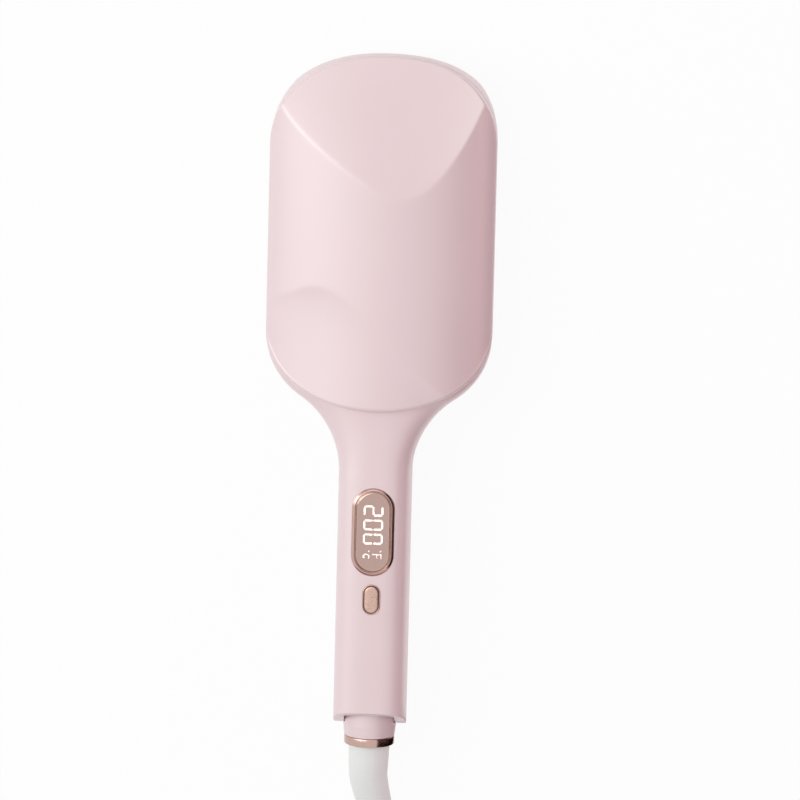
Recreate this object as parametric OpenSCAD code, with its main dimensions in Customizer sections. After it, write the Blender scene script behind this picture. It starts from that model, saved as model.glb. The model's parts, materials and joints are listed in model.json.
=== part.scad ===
// Hair waver: two hinged arms with waved heating plates, lying on its back, front face up.
// X runs across the tool, Y from the tail to the tip of the head, Z up from the table.
// Arm pieces are drawn in an arm's own frame: h is the height away from the parting plane,
// and y is counted from the end of the handle.

/* [Overall] */
// Length from the end of the handle to the tip of the head
tool_len = 310; // [296:1:330]
// Height of the parting plane between the arms above the table
parting_z = 22; // [21:0.5:25]
// Gap between the closed arms' rims
rim_gap = 0.8; // [0.6:0.1:1.2]
// Clearance between neighbouring pieces
clear = 0.3; // [0.2:0.05:0.4]

/* [Handle] */
// Width of the handle
handle_w = 32.6; // [31:0.2:36]
// Height of the front handle half above the parting plane
handle_h = 17.5; // [16.8:0.1:19]
// Wall of the handle shells
handle_wall = 2; // [1.8:0.1:2.4]
// Squareness of the handle's section
handle_power = 3.4; // [2.6:0.1:4]
// How far the front handle's end slants back at its top
tail_slant = 8; // [4:0.5:9]
// Radius of the fillet between handle and shoulder
neck_fillet_r = 42; // [36:1:48]
// Thickness of the handle liners
liner_t = 2.2; // [1.8:0.1:2.6]

/* [Head] */
// Width of the head
head_w = 102.6; // [100:0.2:110]
// Distance from the tip to where the head's straight sides start
cap_len = 42; // [38:1:46]
// Roundness of the tip: 2 is an ellipse, more is squarer
cap_power = 2.15; // [2:0.05:2.6]
// Distance from the handle's end to where the head's straight sides end
shoulder_y = 182; // [178:1:186]
// Radius of the shoulders
shoulder_r = 34; // [30:1:38]
// Depth of the curved fold at the covers' lower edge
fold_len = 32; // [28:1:36]
// Height of the front cover above the parting plane
dome_h = 24; // [22:0.5:27]
// Height of the front cover's rim
front_rim = 2; // [2:0.1:2.8]
// Height of the back cover's side wall
back_rim = 8.7; // [8:0.1:10]
// Wall of the covers
cover_wall = 2.2; // [2:0.1:2.4]
// Slope of the scooped facet at the front cover's tip, in degrees
facet_slope = 19.3; // [17:0.1:22]
// Sideways tilt of that facet, in degrees
facet_skew = 4; // [0:0.5:5]
// Slope of the back cover's tip, in degrees
back_slope = 32; // [26:1:40]
// Solid length at the tip of each cover
nose_solid = 15; // [14:0.5:18]
// Thickness of the inner frames
frame_t = 2.6; // [2.2:0.1:2.8]

/* [Wave plates] */
// Length of the wave from crest to crest
wave_pitch = 56; // [54:1:58]
// Height of the wave above and below its middle
wave_amp = 9.5; // [8:0.25:10]
// Gap between the closed plates
plate_gap = 1.5; // [1.2:0.1:2]
// Thickness of the plates
plate_t = 2.5; // [2:0.1:3]
// Length of the plates
plate_len = 95; // [88:1:97]
// Distance from the handle's end to the plates
plate_y = 175; // [174:0.5:178]
// Width of the heater strips
heater_w = 12; // [10:0.5:12]
// Thickness of the heater strips
heater_t = 4; // [3:0.25:4.5]
// Thickness of the clamps
clamp_t = 0.8; // [0.6:0.1:1]

/* [Display and button] */
// Width of the display's bezel
display_w = 19.3; // [18:0.1:20]
// Length of the display's bezel
display_len = 40.9; // [38:0.1:44]
// Middle of the display from the handle's end
display_y = 93.3; // [91:0.1:95]
// Width of the display bezel's rim
display_rim = 1.9; // [1.5:0.1:2.2]
// Height of a digit
digit_h = 9; // [7:0.1:9.6]
// Width of a digit
digit_w = 5.1; // [4:0.1:5.5]
// Distance between digits
digit_pitch = 6.57; // [6.2:0.01:7]
// Width of the button's bezel
button_w = 8.15; // [7.6:0.05:9]
// Length of the button's bezel
button_len = 14.2; // [13:0.1:16]
// Middle of the button from the handle's end
button_y = 61.8; // [60:0.1:63]
// Width of the button bezel's rim
button_rim = 0.65; // [0.6:0.05:0.8]
// Travel of the button
button_travel = 0.5; // [0.3:0.05:0.6]

/* [Tail] */
// Distance of the hinge from the handle's end
hinge_y = 6.5; // [6:0.1:7.5]
// Radius of the hinge pins
hinge_pin_r = 2; // [1.6:0.1:2.2]
// Radial clearance of the hinge pins
hinge_fit = 0.05; // [0.02:0.01:0.08]
// Radius of the tail block's neck at the handle
neck_r = 12.15; // [12:0.05:12.6]
// Radius of the neck at its end
neck_end_r = 11.5; // [11.2:0.05:11.9]
// Length of the neck outside the handle
neck_len = 5.2; // [4:0.1:7]
// Outer radius of the tail ring
ring_r = 11.25; // [11:0.05:11.5]
// Length of the tail ring
ring_len = 4.2; // [3:0.1:5]
// Radius of the cord guard at the ring
guard_r = 9.2; // [8.4:0.1:9.4]
// Radius of the swivel bush
bush_r = 7.5; // [7:0.1:7.8]
// Mean radius of the arm spring
spring_r = 4.2; // [4:0.1:4.4]
// Travel of the lock slider
lock_travel = 5; // [4:0.5:5.5]

/* [Cord] */
// Diameter of the cord
cord_d = 6.5; // [6:0.1:7]
// Mean radius of the cord's coil
coil_r = 37.5; // [36:0.5:40]
// Thickness of the coil's bundle
coil_t = 20; // [18:0.5:22]
// Height of the coil's bundle
coil_h = 18; // [16:0.5:20]
// Radius of the plug's pins
plug_pin_r = 2; // [2:0.1:2.4]
// Free length of the plug's pins
plug_pin_len = 19; // [18:0.5:20]
// Distance between the plug's pins
plug_pin_pitch = 18.6; // [17.5:0.1:19.5]

/* [Hidden] */
$fn = 48;

front = 1;
back = -1;
rim_h = rim_gap / 2;
half_w = handle_w / 2;
head_half = head_w / 2;
inner_half = half_w - handle_wall;
liner_top = rim_h + liner_t;
tail_end = neck_len + ring_len;
mid_y = (tool_len - tail_end) / 2;
cap_y = tool_len - cap_len;

// Shoulder outline: a concave neck fillet runs into the convex shoulder
arc_sum = shoulder_r + neck_fillet_r;
arc_dx = arc_sum - (head_half - half_w);
neck_y = shoulder_y - sqrt(arc_sum * arc_sum - arc_dx * arc_dx);
join_y = neck_y + neck_fillet_r * sqrt(1 - pow(arc_dx / arc_sum, 2));
fold_y = shoulder_y - fold_len;
horn_y = shoulder_y - 12;
split_y = neck_y + 9.5;

// Wave plates and what sits on them
plate_half = 0.75 * wave_pitch;
plate_end = plate_y + plate_len;
land_h = plate_gap / 2 - wave_amp + plate_t + 2.25;
edge_land_w = 4.5;
tab_t = 2;
tab_half = 4;
tab_in = plate_half + clear;
tab_out = (tab_in + head_half - cover_wall - clear) / 2;
end_cap_t = 2.5;
nest_gap = 1.2;
plate_screw_x = plate_half - 2.5;
plate_screw_y = [plate_y + 6, plate_end - 6];
heater_y = plate_y + 8;
heater_len = plate_len - 16;
heater_xs_front = [-wave_pitch / 2, wave_pitch / 2];
heater_xs_back = [0];
clamp_h = land_h + heater_t;
clamp_top = clamp_h + clamp_t;
clamp_half = heater_w / 2 - 2.5;
passage_half = 13;
passage_h = 14;
clamp_y = plate_y + 1.5;
clamp_len = plate_len - 3;
clamp_tab = 5.8;
clamp_screw_y = [clamp_y + 2.5, clamp_y + clamp_len - 2.5];
pad_y = plate_y + 4;
pad_len = 64;
pad_more = 16;
pad_t = 1.2;
pad_half_front = 18;
pad_half_back = 21;
pad_h = dome_h - cover_wall - 4;
rib_x = [9, 11];
fuse_r = 1.6;
sensor_r = 1.3;
wire_r = 0.8;

// Screws
screw_r = 1.3;
head_r = 2.3;
head_t = 1.3;
screw_len = 5;
pilot_h = rim_h + head_t + screw_len + 0.3;
liner_screw_x = 9.5;
liner_screw_y = [44, split_y - 5];
liner_boss_r = 2.7;
post_r = 3;
cover_screw = [[12, fold_y + 11], [14, cap_y + 17]];
shell_screw = [13, neck_y + 20];

// Board and what stands on it
board_drop = 9.5;
board_h = handle_h - board_drop;
board_t = 1.6;
board_y = 49;
board_len = 68;
board_w = 22;
board_top = board_h + board_t;
board_screw_x = 8.5;
board_screw_y = [board_y + 4, board_y + board_len - 4];
part_room = board_h - liner_top - 0.6;
relay_y = [board_y + 12, board_y + 24];
relay_half = 6;
capacitor_y = [board_y + 30, board_y + 46];
capacitor_x = [-7, 5];
mains_fuse_y = board_y + 52;
mains_fuse_r = part_room / 2;
mains_fuse_len = 14;
fuse_clip_x = [4, 6.5];
fuse_clip_half = 3;
display_top = handle_h + 0.1;
display_in_w = display_w - 2 * display_rim;
display_in_len = display_len - 2 * display_rim;
lens_t = 1.9;
lens_h = display_top - 0.1 - lens_t;
ledge = 0.9;
digit_t = 0.2;
button_top = handle_h + 0.5;
button_in_w = button_w - 2 * button_rim;
button_in_len = button_len - 2 * button_rim;
button_flange_h = handle_h - 3.9;
button_flange_t = 0.8;
switch_h = 2.4;
switch_nub = 0.6;

// Tail
ear_in = 11.5;
ear_out = inner_half - 0.4;
ear_wall = 2.5;
ear_r = hinge_pin_r + ear_wall;
ear_gap = 1;
block_half = ear_in - 0.4;
block_in = hinge_y + ear_r + ear_gap;
bush_bore_r = bush_r + 0.1;
pin_in = bush_bore_r + 0.6;
opening_deg = 22;
swivel_gap = 0.2;
collar_t = 1.3;
ring_bore_r = guard_r + clear;
clip_t = 1.2;
clip_r = bush_r + 1.8;
groove_r = bush_r - 1.2;
nose_r = 3.6;
contact_pitch = 4;
contact_y = [block_in + 4.5, block_in + 4.5 + contact_pitch];
cradle_h = clip_r + 0.7;
cradle_t = 2;
cradle_half = 9;
cradle_len = 13;
cradle_y = block_in + cradle_len;
cradle_screw = [6, block_in + cradle_len - 7];
back_wall = 1.6;
spring_y = cradle_y + spring_r + 2.8;
spring_wire_r = 0.6;
spring_back_h = 13;
spring_front_h = 9;
spring_pin_r = spring_r - 1.2;
lock_y = spring_y + 6;
lock_len = 12;
lock_half = 5;
lock_guide_t = 1.2;
knob_half = 3;
knob_len = 6;
post_t = 2.5;
post_y = lock_y + 2;
hook_half = 1.5;
knob_y = lock_y + (lock_len - knob_len) / 2;
hook_len = 3;
hook_t = 2;
hook_h = 3.4;
catch_half = 2;
catch_foot = 1.5;
catch_drop = hook_h + hook_t + 0.4;
catch_y = post_y + post_t + hook_len + lock_travel + 0.5;
floor_h = parting_z - handle_wall;

// Routes of the cord, chosen by hand: from the ring to the coil, and from the coil to the plug
guard_route = [[0, -1.5, 22], [0, -8, 22], [0, -16, 21.6], [1, -25, 20.4], [3, -34, 18.4],
  [6, -43, 15.6], [9.4, -52, 12.4], [13, -61, 9]];
cord_route = [[13, -61, 9], [15.6, -70, 6.2], [17.6, -79, 4.4], [18.5, -88, 3.8]];
plug_route = [[-49, -154, 3.8], [-60, -154, 3.8], [-71, -151, 4.2], [-81, -144, 5],
  [-86.5, -134, 6], [-87, -124, 7]];
coil_at = [-20, -116, 1];
plug_at = [-87, -124, 7];
plug_taper = 16;
plug_body_len = 20;
plug_body_w = 34.5;
plug_body_t = 14;
plug_root_len = 10;
plug_root_r = 1.5;
guard_end_r = 4.6;

// Rows of digits: which of the seven bars are lit (top, top right, bottom right, bottom,
// bottom left, top left, middle)
digit_bars = [[1, 1, 0, 1, 1, 0, 1], [1, 1, 1, 1, 1, 1, 0], [1, 1, 1, 1, 1, 1, 0]];
bar_t = 0.9;

// Frames and helpers

// Places an arm's piece: its own h axis points away from the parting plane
module arm(side) {
  translate([0, -mid_y, parting_z])
    if (side == front) children();
    else mirror([0, 0, 1]) children();
}

module box_at(x, y, h) {
  translate([x[0], y[0], h[0]]) cube([x[1] - x[0], y[1] - y[0], h[1] - h[0]]);
}

// A box mirrored to both sides of the middle
module side_boxes(x, y, h) {
  box_at(x, y, h);
  box_at([-x[1], -x[0]], y, h);
}

module stadium(w, len) {
  for (s = [-1, 1]) translate([0, s * (len - w) / 2]) circle(d = w);
  square([w, len - w], center = true);
}

module stadium_block(w, len, h0, h1) {
  translate([0, 0, h0]) linear_extrude(h1 - h0) stadium(w, len);
}

module screw(length) {
  cylinder(r = screw_r, h = length);
  translate([0, 0, -head_t]) difference() {
    cylinder(r = head_r, h = head_t);
    translate([-1.6, -0.3, -1]) cube([3.2, 0.6, 1.5]);
    translate([-0.3, -1.6, -1]) cube([0.6, 3.2, 1.5]);
  }
}

// Outlines seen from the front

// Half of the arm's width at a distance y from the handle's end, up to the shoulder
function arm_half(y) =
  y <= neck_y ? half_w :
  y <= join_y ? half_w + neck_fillet_r - sqrt(pow(neck_fillet_r, 2) - pow(y - neck_y, 2)) :
  head_half - shoulder_r + sqrt(pow(shoulder_r, 2) - pow(min(0, y - shoulder_y), 2));

function sgn_pow(v, p) = sign(v) * pow(abs(v), p);

// Tip of the head as a superellipse, shortened by nose where it is a cavity's outline
function cap_points(inset, nose) = [for (a = [0:7.5:180])
  [(head_half - inset) * sgn_pow(cos(a), 2 / cap_power),
   cap_y + (cap_len - nose) * sgn_pow(sin(a), 2 / cap_power)]];

// Curved lower fold of a cover
function fold_points(inset) = [for (a = [180:7.5:360])
  [(head_half - inset) * cos(a), shoulder_y + (fold_len - inset) * sin(a)]];

function cover_outline(inset, nose) = concat(cap_points(inset, nose), fold_points(inset));

// Neck and shoulders of an arm between two distances from the handle's end
function neck_side(inset, y0, y1) = [for (k = [0:16])
  let (y = y0 + (y1 - y0) * k / 16) [arm_half(y) - inset, y]];

module neck_outline(inset, y0, y1) {
  right = neck_side(inset, y0, y1);
  polygon(concat(right, [for (k = [16:-1:0]) [-right[k][0], right[k][1]]]));
}

// Handle shells

// Height of a handle shell's top: the back one rests flat on the table
function shell_h(side, y) = side == front
  ? handle_h - 0.5 * min(1, max(0, (y - neck_y) / 30))
  : parting_z - 1.2 * min(1, max(0, (y - neck_y + 20) / 30));

function shell_power(y) = handle_power - 1.3 * min(1, max(0, (y - neck_y) / (shoulder_y - neck_y)));

function shell_ring(side, y, inset) =
  let (w = arm_half(y) - inset, top = shell_h(side, y) - inset, p = 2 / shell_power(y),
       b = side == front ? top - rim_h : top - rim_h + 0.6)
  [for (a = [0:9:180])
    [w * sgn_pow(cos(a), p), y, rim_h + min(top - rim_h, b * sgn_pow(max(0, sin(a)), p))]];

function shell_stations(y0) = concat([y0, neck_y - 22, neck_y - 12],
  [for (k = [0:10]) neck_y + (horn_y - neck_y) * k / 10]);

// Solid between rings of equally many points
module loft(rings) {
  n = len(rings[0]);
  m = len(rings);
  points = [for (ring = rings) each ring];
  sides = [for (j = [0:m - 2]) for (i = [0:n - 1])
    let (a = j * n + i, b = j * n + (i + 1) % n, c = b + n, d = a + n)
    each [[a, b, c], [a, c, d]]];
  caps = [[for (i = [n - 1:-1:0]) i], [for (i = [0:n - 1]) (m - 1) * n + i]];
  polyhedron(points, concat(sides, caps));
}

module shell_solid(side) {
  loft([for (y = shell_stations(0)) shell_ring(side, y, 0)]);
}

module shell_cavity(side) {
  start = side == front ? -1 : back_wall;
  rings = [for (y = shell_stations(start)) shell_ring(side, y, handle_wall)];
  loft([for (ring = rings) [for (p = ring) p[2] <= rim_h + 0.001 ? [p[0], p[1], -1] : p]]);
}

// Bosses for the screws of the liner and the inner frame
module shell_bosses() {
  for (x = [-1, 1], y = liner_screw_y)
    translate([x * liner_screw_x, y, liner_top]) cylinder(r = liner_boss_r, h = 30);
  for (x = [-1, 1])
    translate([x * shell_screw[0], shell_screw[1], rim_h + frame_t]) cylinder(r = post_r, h = 30);
}

module shell_pilots() {
  for (x = [-1, 1], y = liner_screw_y)
    translate([x * liner_screw_x, y, 0]) cylinder(r = screw_r, h = pilot_h);
  for (x = [-1, 1])
    translate([x * shell_screw[0], shell_screw[1], 0]) cylinder(r = screw_r, h = pilot_h);
}

module handle_shell_body(side) {
  difference() {
    shell_solid(side);
    shell_cavity(side);
  }
  intersection() {
    shell_bosses();
    shell_solid(side);
  }
}

// What both handle shells leave out: the head's region and the screws' holes
module handle_shell_cuts() {
  translate([0, 0, -1]) linear_extrude(40) polygon(cover_outline(0, 0));
  shell_pilots();
}

// Ears of the front shell that turn on the hinge pins
module hinge_ears() {
  difference() {
    union() {
      intersection() {
        union() {
          side_boxes([ear_in, ear_out], [hinge_y - ear_r + 1, hinge_y + ear_r], [0, handle_h]);
          side_boxes([ear_in, half_w], [hinge_y - ear_r + 1, hinge_y + ear_r], [4, handle_h]);
        }
        union() {
          shell_solid(front);
          side_boxes([ear_in, ear_out], [0, 20], [-1, 3]);
        }
      }
      for (s = [-1, 1])
        translate([s * (ear_in + ear_out) / 2, hinge_y, 0]) rotate([0, 90, 0])
          cylinder(r = ear_r, h = ear_out - ear_in, center = true);
    }
    translate([0, hinge_y, 0]) rotate([0, 90, 0])
      cylinder(r = hinge_pin_r + hinge_fit, h = handle_w, center = true);
  }
}

// Slanted end of the front shell, and the relief behind the hinge that lets it tip
module tail_cut() {
  rotate([90, 0, 90]) translate([0, 0, -half_w - 5]) linear_extrude(handle_w + 10)
    polygon([[-10, 0], [0, 0], [tail_slant * 1.5, handle_h * 1.5], [-10, handle_h * 1.5]]);
}

module tail_relief() {
  rise = (hinge_y + 10) * tan(opening_deg + 1);
  rotate([90, 0, 90]) translate([0, 0, -half_w - 5]) linear_extrude(handle_w + 10)
    polygon([[-10, -1], [hinge_y, -1], [hinge_y, rim_h], [-10, rim_h + rise]]);
}

// Boss that the arm spring presses on, with a pin inside the spring
module spring_seat(side, h) {
  intersection() {
    translate([0, spring_y, h]) cylinder(r = spring_r + 1, h = 30);
    shell_solid(side);
  }
  translate([0, spring_y, h - 4]) cylinder(r = spring_pin_r, h = 5);
}

module front_handle_shell() {
  color("#e6cfd2") arm(front) difference() {
    union() {
      difference() {
        handle_shell_body(front);
        tail_relief();
      }
      hinge_ears();
      spring_seat(front, spring_front_h);
    }
    handle_shell_cuts();
    tail_cut();
    translate([0, display_y, 0])
      stadium_block(display_w + 0.1, display_len + 0.1, handle_h - 6, handle_h + 2);
    translate([0, button_y, 0])
      stadium_block(button_w + 0.1, button_len + 0.1, handle_h - 6, handle_h + 2);
  }
}

// Guides that hold the lock slider's plate on the floor of the back shell
module lock_guides() {
  run = [lock_y - 1, lock_y + lock_len + lock_travel + 2];
  edge = lock_half + clear + lock_guide_t;
  side_boxes([lock_half + clear, edge], run, [floor_h - 3.6, floor_h + 0.5]);
  side_boxes([lock_half - 0.7, edge], run, [floor_h - 3.6, floor_h - 2.4]);
}

module cradle_places() {
  for (s = [-1, 1]) translate([s * cradle_screw[0], cradle_screw[1], 0]) children();
}

module back_handle_shell() {
  color("#e6cfd2") arm(back) difference() {
    union() {
      handle_shell_body(back);
      lock_guides();
      intersection() {
        cradle_places() translate([0, 0, cradle_h + cradle_t]) cylinder(r = post_r, h = 30);
        shell_solid(back);
      }
      spring_seat(back, spring_back_h);
    }
    handle_shell_cuts();
    translate([0, -1, 0]) rotate([-90, 0, 0]) cylinder(r = neck_r + clear, h = back_wall + 2);
    cradle_places() translate([0, 0, cradle_h]) cylinder(r = screw_r, h = screw_len + 1.3);
    box_at([-knob_half - clear, knob_half + clear],
           [knob_y - clear, knob_y + knob_len + lock_travel + clear],
           [floor_h - 1, parting_z + 1]);
    box_at([-knob_half - 3, knob_half + 3], [knob_y - 3, knob_y + knob_len + lock_travel + 3],
           [parting_z - 0.8, parting_z + 1]);
  }
}

// Head covers

function front_dome(x, half, top, rim, q) =
  rim + (top - rim) * pow(max(0, 1 - pow(min(1, abs(x) / half), 1.5)), q);

function back_dome(x, half, top, rim) =
  min(top, rim + (top + 1 - rim) * pow(max(0, 1 - pow(min(1, abs(x) / half), 3)), 0.6));

// Height of a cover at x; deep is 1 for its cavity
function cover_h(side, x, deep) = side == front
  ? (deep == 1 ? front_dome(x, head_half - cover_wall, dome_h - cover_wall, front_rim + 1.5, 0.7)
               : front_dome(x, head_half, dome_h, front_rim, 0.58))
  : (deep == 1 ? back_dome(x, head_half - cover_wall, parting_z - cover_wall, back_rim - 1.5)
               : back_dome(x, head_half, parting_z, back_rim));

// Section of a cover, run along the head
module cover_section(side, deep) {
  low = deep == 1 ? -1 : rim_h;
  edge = head_half - deep * cover_wall;
  xs = [for (k = [-16:16]) edge * sgn_pow(k / 16, 0.8)];
  rotate([90, 0, 0]) translate([0, 0, -tool_len - 5]) linear_extrude(tool_len)
    polygon(concat([[-head_half - 5, low]],
      [[-head_half - 5, cover_h(side, head_half, deep)]],
      [for (x = xs) [x, cover_h(side, x, deep)]],
      [[head_half + 5, cover_h(side, head_half, deep)]],
      [[head_half + 5, low]]));
}

// What the sloping tip takes off, lowered by drop for a cavity
module tip_facet(side, drop) {
  slope = side == front ? facet_slope : back_slope;
  rim = side == front ? front_rim : back_rim;
  skew = side == front ? facet_skew : 0;
  translate([0, tool_len, rim - drop]) rotate([0, skew, 0]) rotate([-slope, 0, 0])
    translate([-head_w, -head_w * 1.5, 0]) cube([2 * head_w, 2 * head_w, 60]);
}

module cover_solid(side, deep) {
  inset = deep * cover_wall;
  difference() {
    intersection() {
      cover_section(side, deep);
      translate([0, 0, -2]) linear_extrude(60)
        polygon(cover_outline(inset, deep * nose_solid));
    }
    tip_facet(side, deep * cover_wall / cos(facet_slope));
  }
}

// Posts for the screws through the inner frame
module cover_posts() {
  for (s = [-1, 1], p = cover_screw)
    translate([s * p[0], p[1], rim_h + frame_t]) cylinder(r = post_r, h = 40);
}

module head_cover(side) {
  difference() {
    union() {
      difference() {
        cover_solid(side, 0);
        cover_solid(side, 1);
      }
      intersection() {
        cover_posts();
        cover_solid(side, 0);
      }
      // Ribs that the insulation pad is glued to
      if (side == front) intersection() {
        side_boxes(rib_x, [pad_y, pad_y + pad_len], [pad_h, dome_h]);
        cover_solid(front, 0);
      }
    }
    // Room for the inner frame where it runs on into the neck
    translate([0, 0, -1]) linear_extrude(1 + rim_h + frame_t + 0.1)
      neck_outline(cover_wall + 0.1, split_y, horn_y + 0.2);
    // Passage of the wires
    box_at([-passage_half, passage_half], [fold_y - 1, fold_y + 5], [0, passage_h]);
    for (s = [-1, 1], p = cover_screw)
      translate([s * p[0], p[1], 0]) cylinder(r = screw_r, h = pilot_h);
  }
}

module front_head_cover() {
  color("#e6cfd2") arm(front) head_cover(front);
}

module back_head_cover() {
  color("#e6cfd2") arm(back) head_cover(back);
}

// Wave plates

function wave_h(side, x) =
  plate_gap / 2 + side * wave_amp * cos(360 * x / wave_pitch);

function heater_xs(side) = side == front ? heater_xs_front : heater_xs_back;

// Band that follows the wave, from raise to raise + t above its face
module wave_band(side, half, raise, t) {
  xs = [for (k = [-14:14]) half * k / 14];
  polygon(concat([for (x = xs) [x, wave_h(side, x) + raise]],
    [for (k = [14:-1:-14]) [xs[k + 14], wave_h(side, xs[k + 14]) + raise + t]]));
}

module run_along(y0, y1) {
  translate([0, y1, 0]) rotate([90, 0, 0]) linear_extrude(y1 - y0) children();
}

// The frame's wall behind a plate's end, filled from the wave's face up to the frame
module end_fill(side) {
  xs = [for (k = [-14:14]) plate_half * k / 14];
  polygon(concat([for (x = xs) [x, wave_h(side, x)]],
    [for (k = [14:-1:-14]) [xs[k + 14], max(wave_h(side, xs[k + 14]) + plate_t, rim_h + frame_t)]]));
}

module wave_plate(side) {
  difference() {
    run_along(plate_y, plate_end) union() {
      wave_band(side, plate_half, 0, plate_t);
      // Lands under the heaters
      for (x = heater_xs(side))
        translate([x - heater_w / 2 - 0.2, wave_h(side, x) + plate_t / 2])
          square([heater_w + 0.4, land_h - wave_h(side, x) - plate_t / 2]);
      for (s = [-1, 1]) edge_land(side, s);
    }
    for (s = [-1, 1], y = plate_screw_y)
      translate([s * plate_screw_x, y, edge_land_h(side) - 3.5]) cylinder(r = screw_r, h = 8);
    for (x = heater_xs(side), y = clamp_screw_y)
      translate([x, y, land_h - 3.3]) cylinder(r = screw_r, h = 8);
  }
}

// Height of the lands at the plate's edges, where the frame's tabs are screwed down
function edge_land_h(side) =
  0.4 + plate_t + max(wave_h(side, plate_half), wave_h(side, plate_half - edge_land_w));

module edge_land(side, s) {
  xs = [for (k = [0:6]) plate_half - edge_land_w * k / 6];
  polygon([for (p = concat([[plate_half, edge_land_h(side)]],
      [for (x = xs) [x, wave_h(side, x) + 1]],
      [[plate_half - edge_land_w, edge_land_h(side)]])) [s * p[0], p[1]]]);
}

module front_wave_plate() {
  color("#8d6f68") arm(front) wave_plate(front);
}

module back_wave_plate() {
  color("#8d6f68") arm(back) wave_plate(back);
}

// Inner frames

// The frame's plan, open over the plate and where the other plate's ridges and end walls nest
module frame_plan(side) {
  nest_half = wave_pitch / 4 + side;
  difference() {
    union() {
      polygon(cover_outline(cover_wall + clear, nose_solid + clear));
      neck_outline(cover_wall + 3 * clear, split_y, horn_y);
    }
    translate([-plate_half - clear, plate_y - end_cap_t])
      square([2 * (plate_half + clear), plate_len + 2 * end_cap_t]);
    difference() {
      w = side == front ? nest_half : plate_half + clear;
      translate([-w, plate_y - end_cap_t - nest_gap])
        square([2 * w, plate_len + 2 * (end_cap_t + nest_gap)]);
      if (side == back) translate([-nest_half, plate_y - 2 * (end_cap_t + nest_gap)])
        square([2 * nest_half, plate_len + 4 * (end_cap_t + nest_gap)]);
    }
  }
}

module inner_frame(side) {
  tab_h = edge_land_h(side);
  difference() {
    union() {
      translate([0, 0, rim_h]) linear_extrude(frame_t) frame_plan(side);
      // Wave-shaped walls at both ends of the plate
      run_along(plate_y - end_cap_t, plate_y) end_fill(side);
      run_along(plate_end, plate_end + end_cap_t) end_fill(side);
      for (y = [plate_y - end_cap_t, plate_end])
        side_boxes([plate_half - 0.5, plate_half + clear + 0.5], [y, y + end_cap_t],
                   [plate_gap / 2, rim_h + frame_t]);
      // Tabs over the plate's edges
      for (y = plate_screw_y) {
        side_boxes([tab_in, tab_out], [y - tab_half, y + tab_half], [rim_h, tab_h + tab_t]);
        side_boxes([plate_half - edge_land_w, tab_out], [y - tab_half, y + tab_half],
                   [tab_h, tab_h + tab_t]);
      }
    }
    for (s = [-1, 1], y = plate_screw_y)
      translate([s * plate_screw_x, y, 0]) cylinder(r = screw_r + 0.1, h = 20);
    for (s = [-1, 1], p = concat(cover_screw, [shell_screw])) translate([s * p[0], p[1], -1]) {
      cylinder(r = screw_r + 0.1, h = 10);
      cylinder(r = head_r + 0.2, h = 1 + rim_h + head_t);
    }
  }
}

module front_inner_frame() {
  color("#4a4547") arm(front) inner_frame(front);
}

module back_inner_frame() {
  color("#4a4547") arm(back) inner_frame(back);
}

// Heaters, clamps, pads and sensors

module heater_strips(side) {
  for (x = heater_xs(side)) box_at([x - heater_w / 2, x + heater_w / 2],
    [heater_y, heater_y + heater_len], [land_h, clamp_h]);
}

module clamp_strips(side) {
  y0 = clamp_y;
  y1 = clamp_y + clamp_len;
  for (x = heater_xs(side)) {
    span = [x - clamp_half, x + clamp_half];
    difference() {
      union() {
        for (y = [y0, y1 - clamp_tab])
          box_at(span, [y, y + clamp_tab], [land_h, land_h + clamp_t]);
        for (y = [y0 + clamp_tab - clamp_t, y1 - clamp_tab])
          box_at(span, [y, y + clamp_t], [land_h, clamp_top]);
        box_at(span, [y0 + clamp_tab - clamp_t, y1 - clamp_tab + clamp_t], [clamp_h, clamp_top]);
      }
      for (y = clamp_screw_y) translate([x, y, land_h - 1]) cylinder(r = screw_r + 0.1, h = 3);
    }
  }
}

module clamp_screws(side) {
  for (x = heater_xs(side), y = clamp_screw_y)
    translate([x, y, land_h + clamp_t]) rotate([180, 0, 0]) screw(3);
}

module plate_screws(side) {
  for (s = [-1, 1], y = plate_screw_y)
    translate([s * plate_screw_x, y, edge_land_h(side) + tab_t])
      rotate([180, 0, 0]) screw(screw_len);
}

module cover_screws() {
  for (s = [-1, 1], p = concat(cover_screw, [shell_screw]))
    translate([s * p[0], p[1], rim_h + head_t]) screw(screw_len);
}

module front_heaters() {
  color("#b8860b") arm(front) heater_strips(front);
}

module back_heater() {
  color("#b8860b") arm(back) heater_strips(back);
}

module front_heater_clamps() {
  color("#9a9a9a") arm(front) clamp_strips(front);
}

module back_heater_clamp() {
  color("#9a9a9a") arm(back) clamp_strips(back);
}

module front_insulation_pad() {
  color("#d9d4c7") arm(front)
    box_at([-pad_half_front, pad_half_front], [pad_y, pad_y + pad_len], [pad_h - pad_t, pad_h]);
}

module back_insulation_pad() {
  color("#d9d4c7") arm(back)
    box_at([-pad_half_back, pad_half_back], [pad_y, pad_y + pad_len + pad_more],
           [parting_z - cover_wall - pad_t, parting_z - cover_wall]);
}

// Thermal fuse in its sleeve on a clamp, held by two straps with feet
module front_thermal_fuse() {
  y = plate_y + plate_len / 2;
  color("#c8c8c8") arm(front) translate([heater_xs_front[0], y, clamp_top]) {
    translate([0, 0, fuse_r]) rotate([90, 0, 0]) cylinder(r = fuse_r, h = 13, center = true);
    for (d = [-5, 4]) strap(fuse_r, d);
  }
}

// Strap over a round piece of radius r that lies on a flat face, 1.5 wide from y
module strap(r, y) {
  difference() {
    union() {
      translate([0, y + 1.5, r]) rotate([90, 0, 0]) cylinder(r = r + 0.4, h = 1.5);
      translate([-r - 1.6, y, 0]) cube([2 * r + 3.2, 1.5, 0.5]);
    }
    translate([-r - 2, y - 1, -2]) cube([2 * r + 4, 4, 2]);
  }
}

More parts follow.
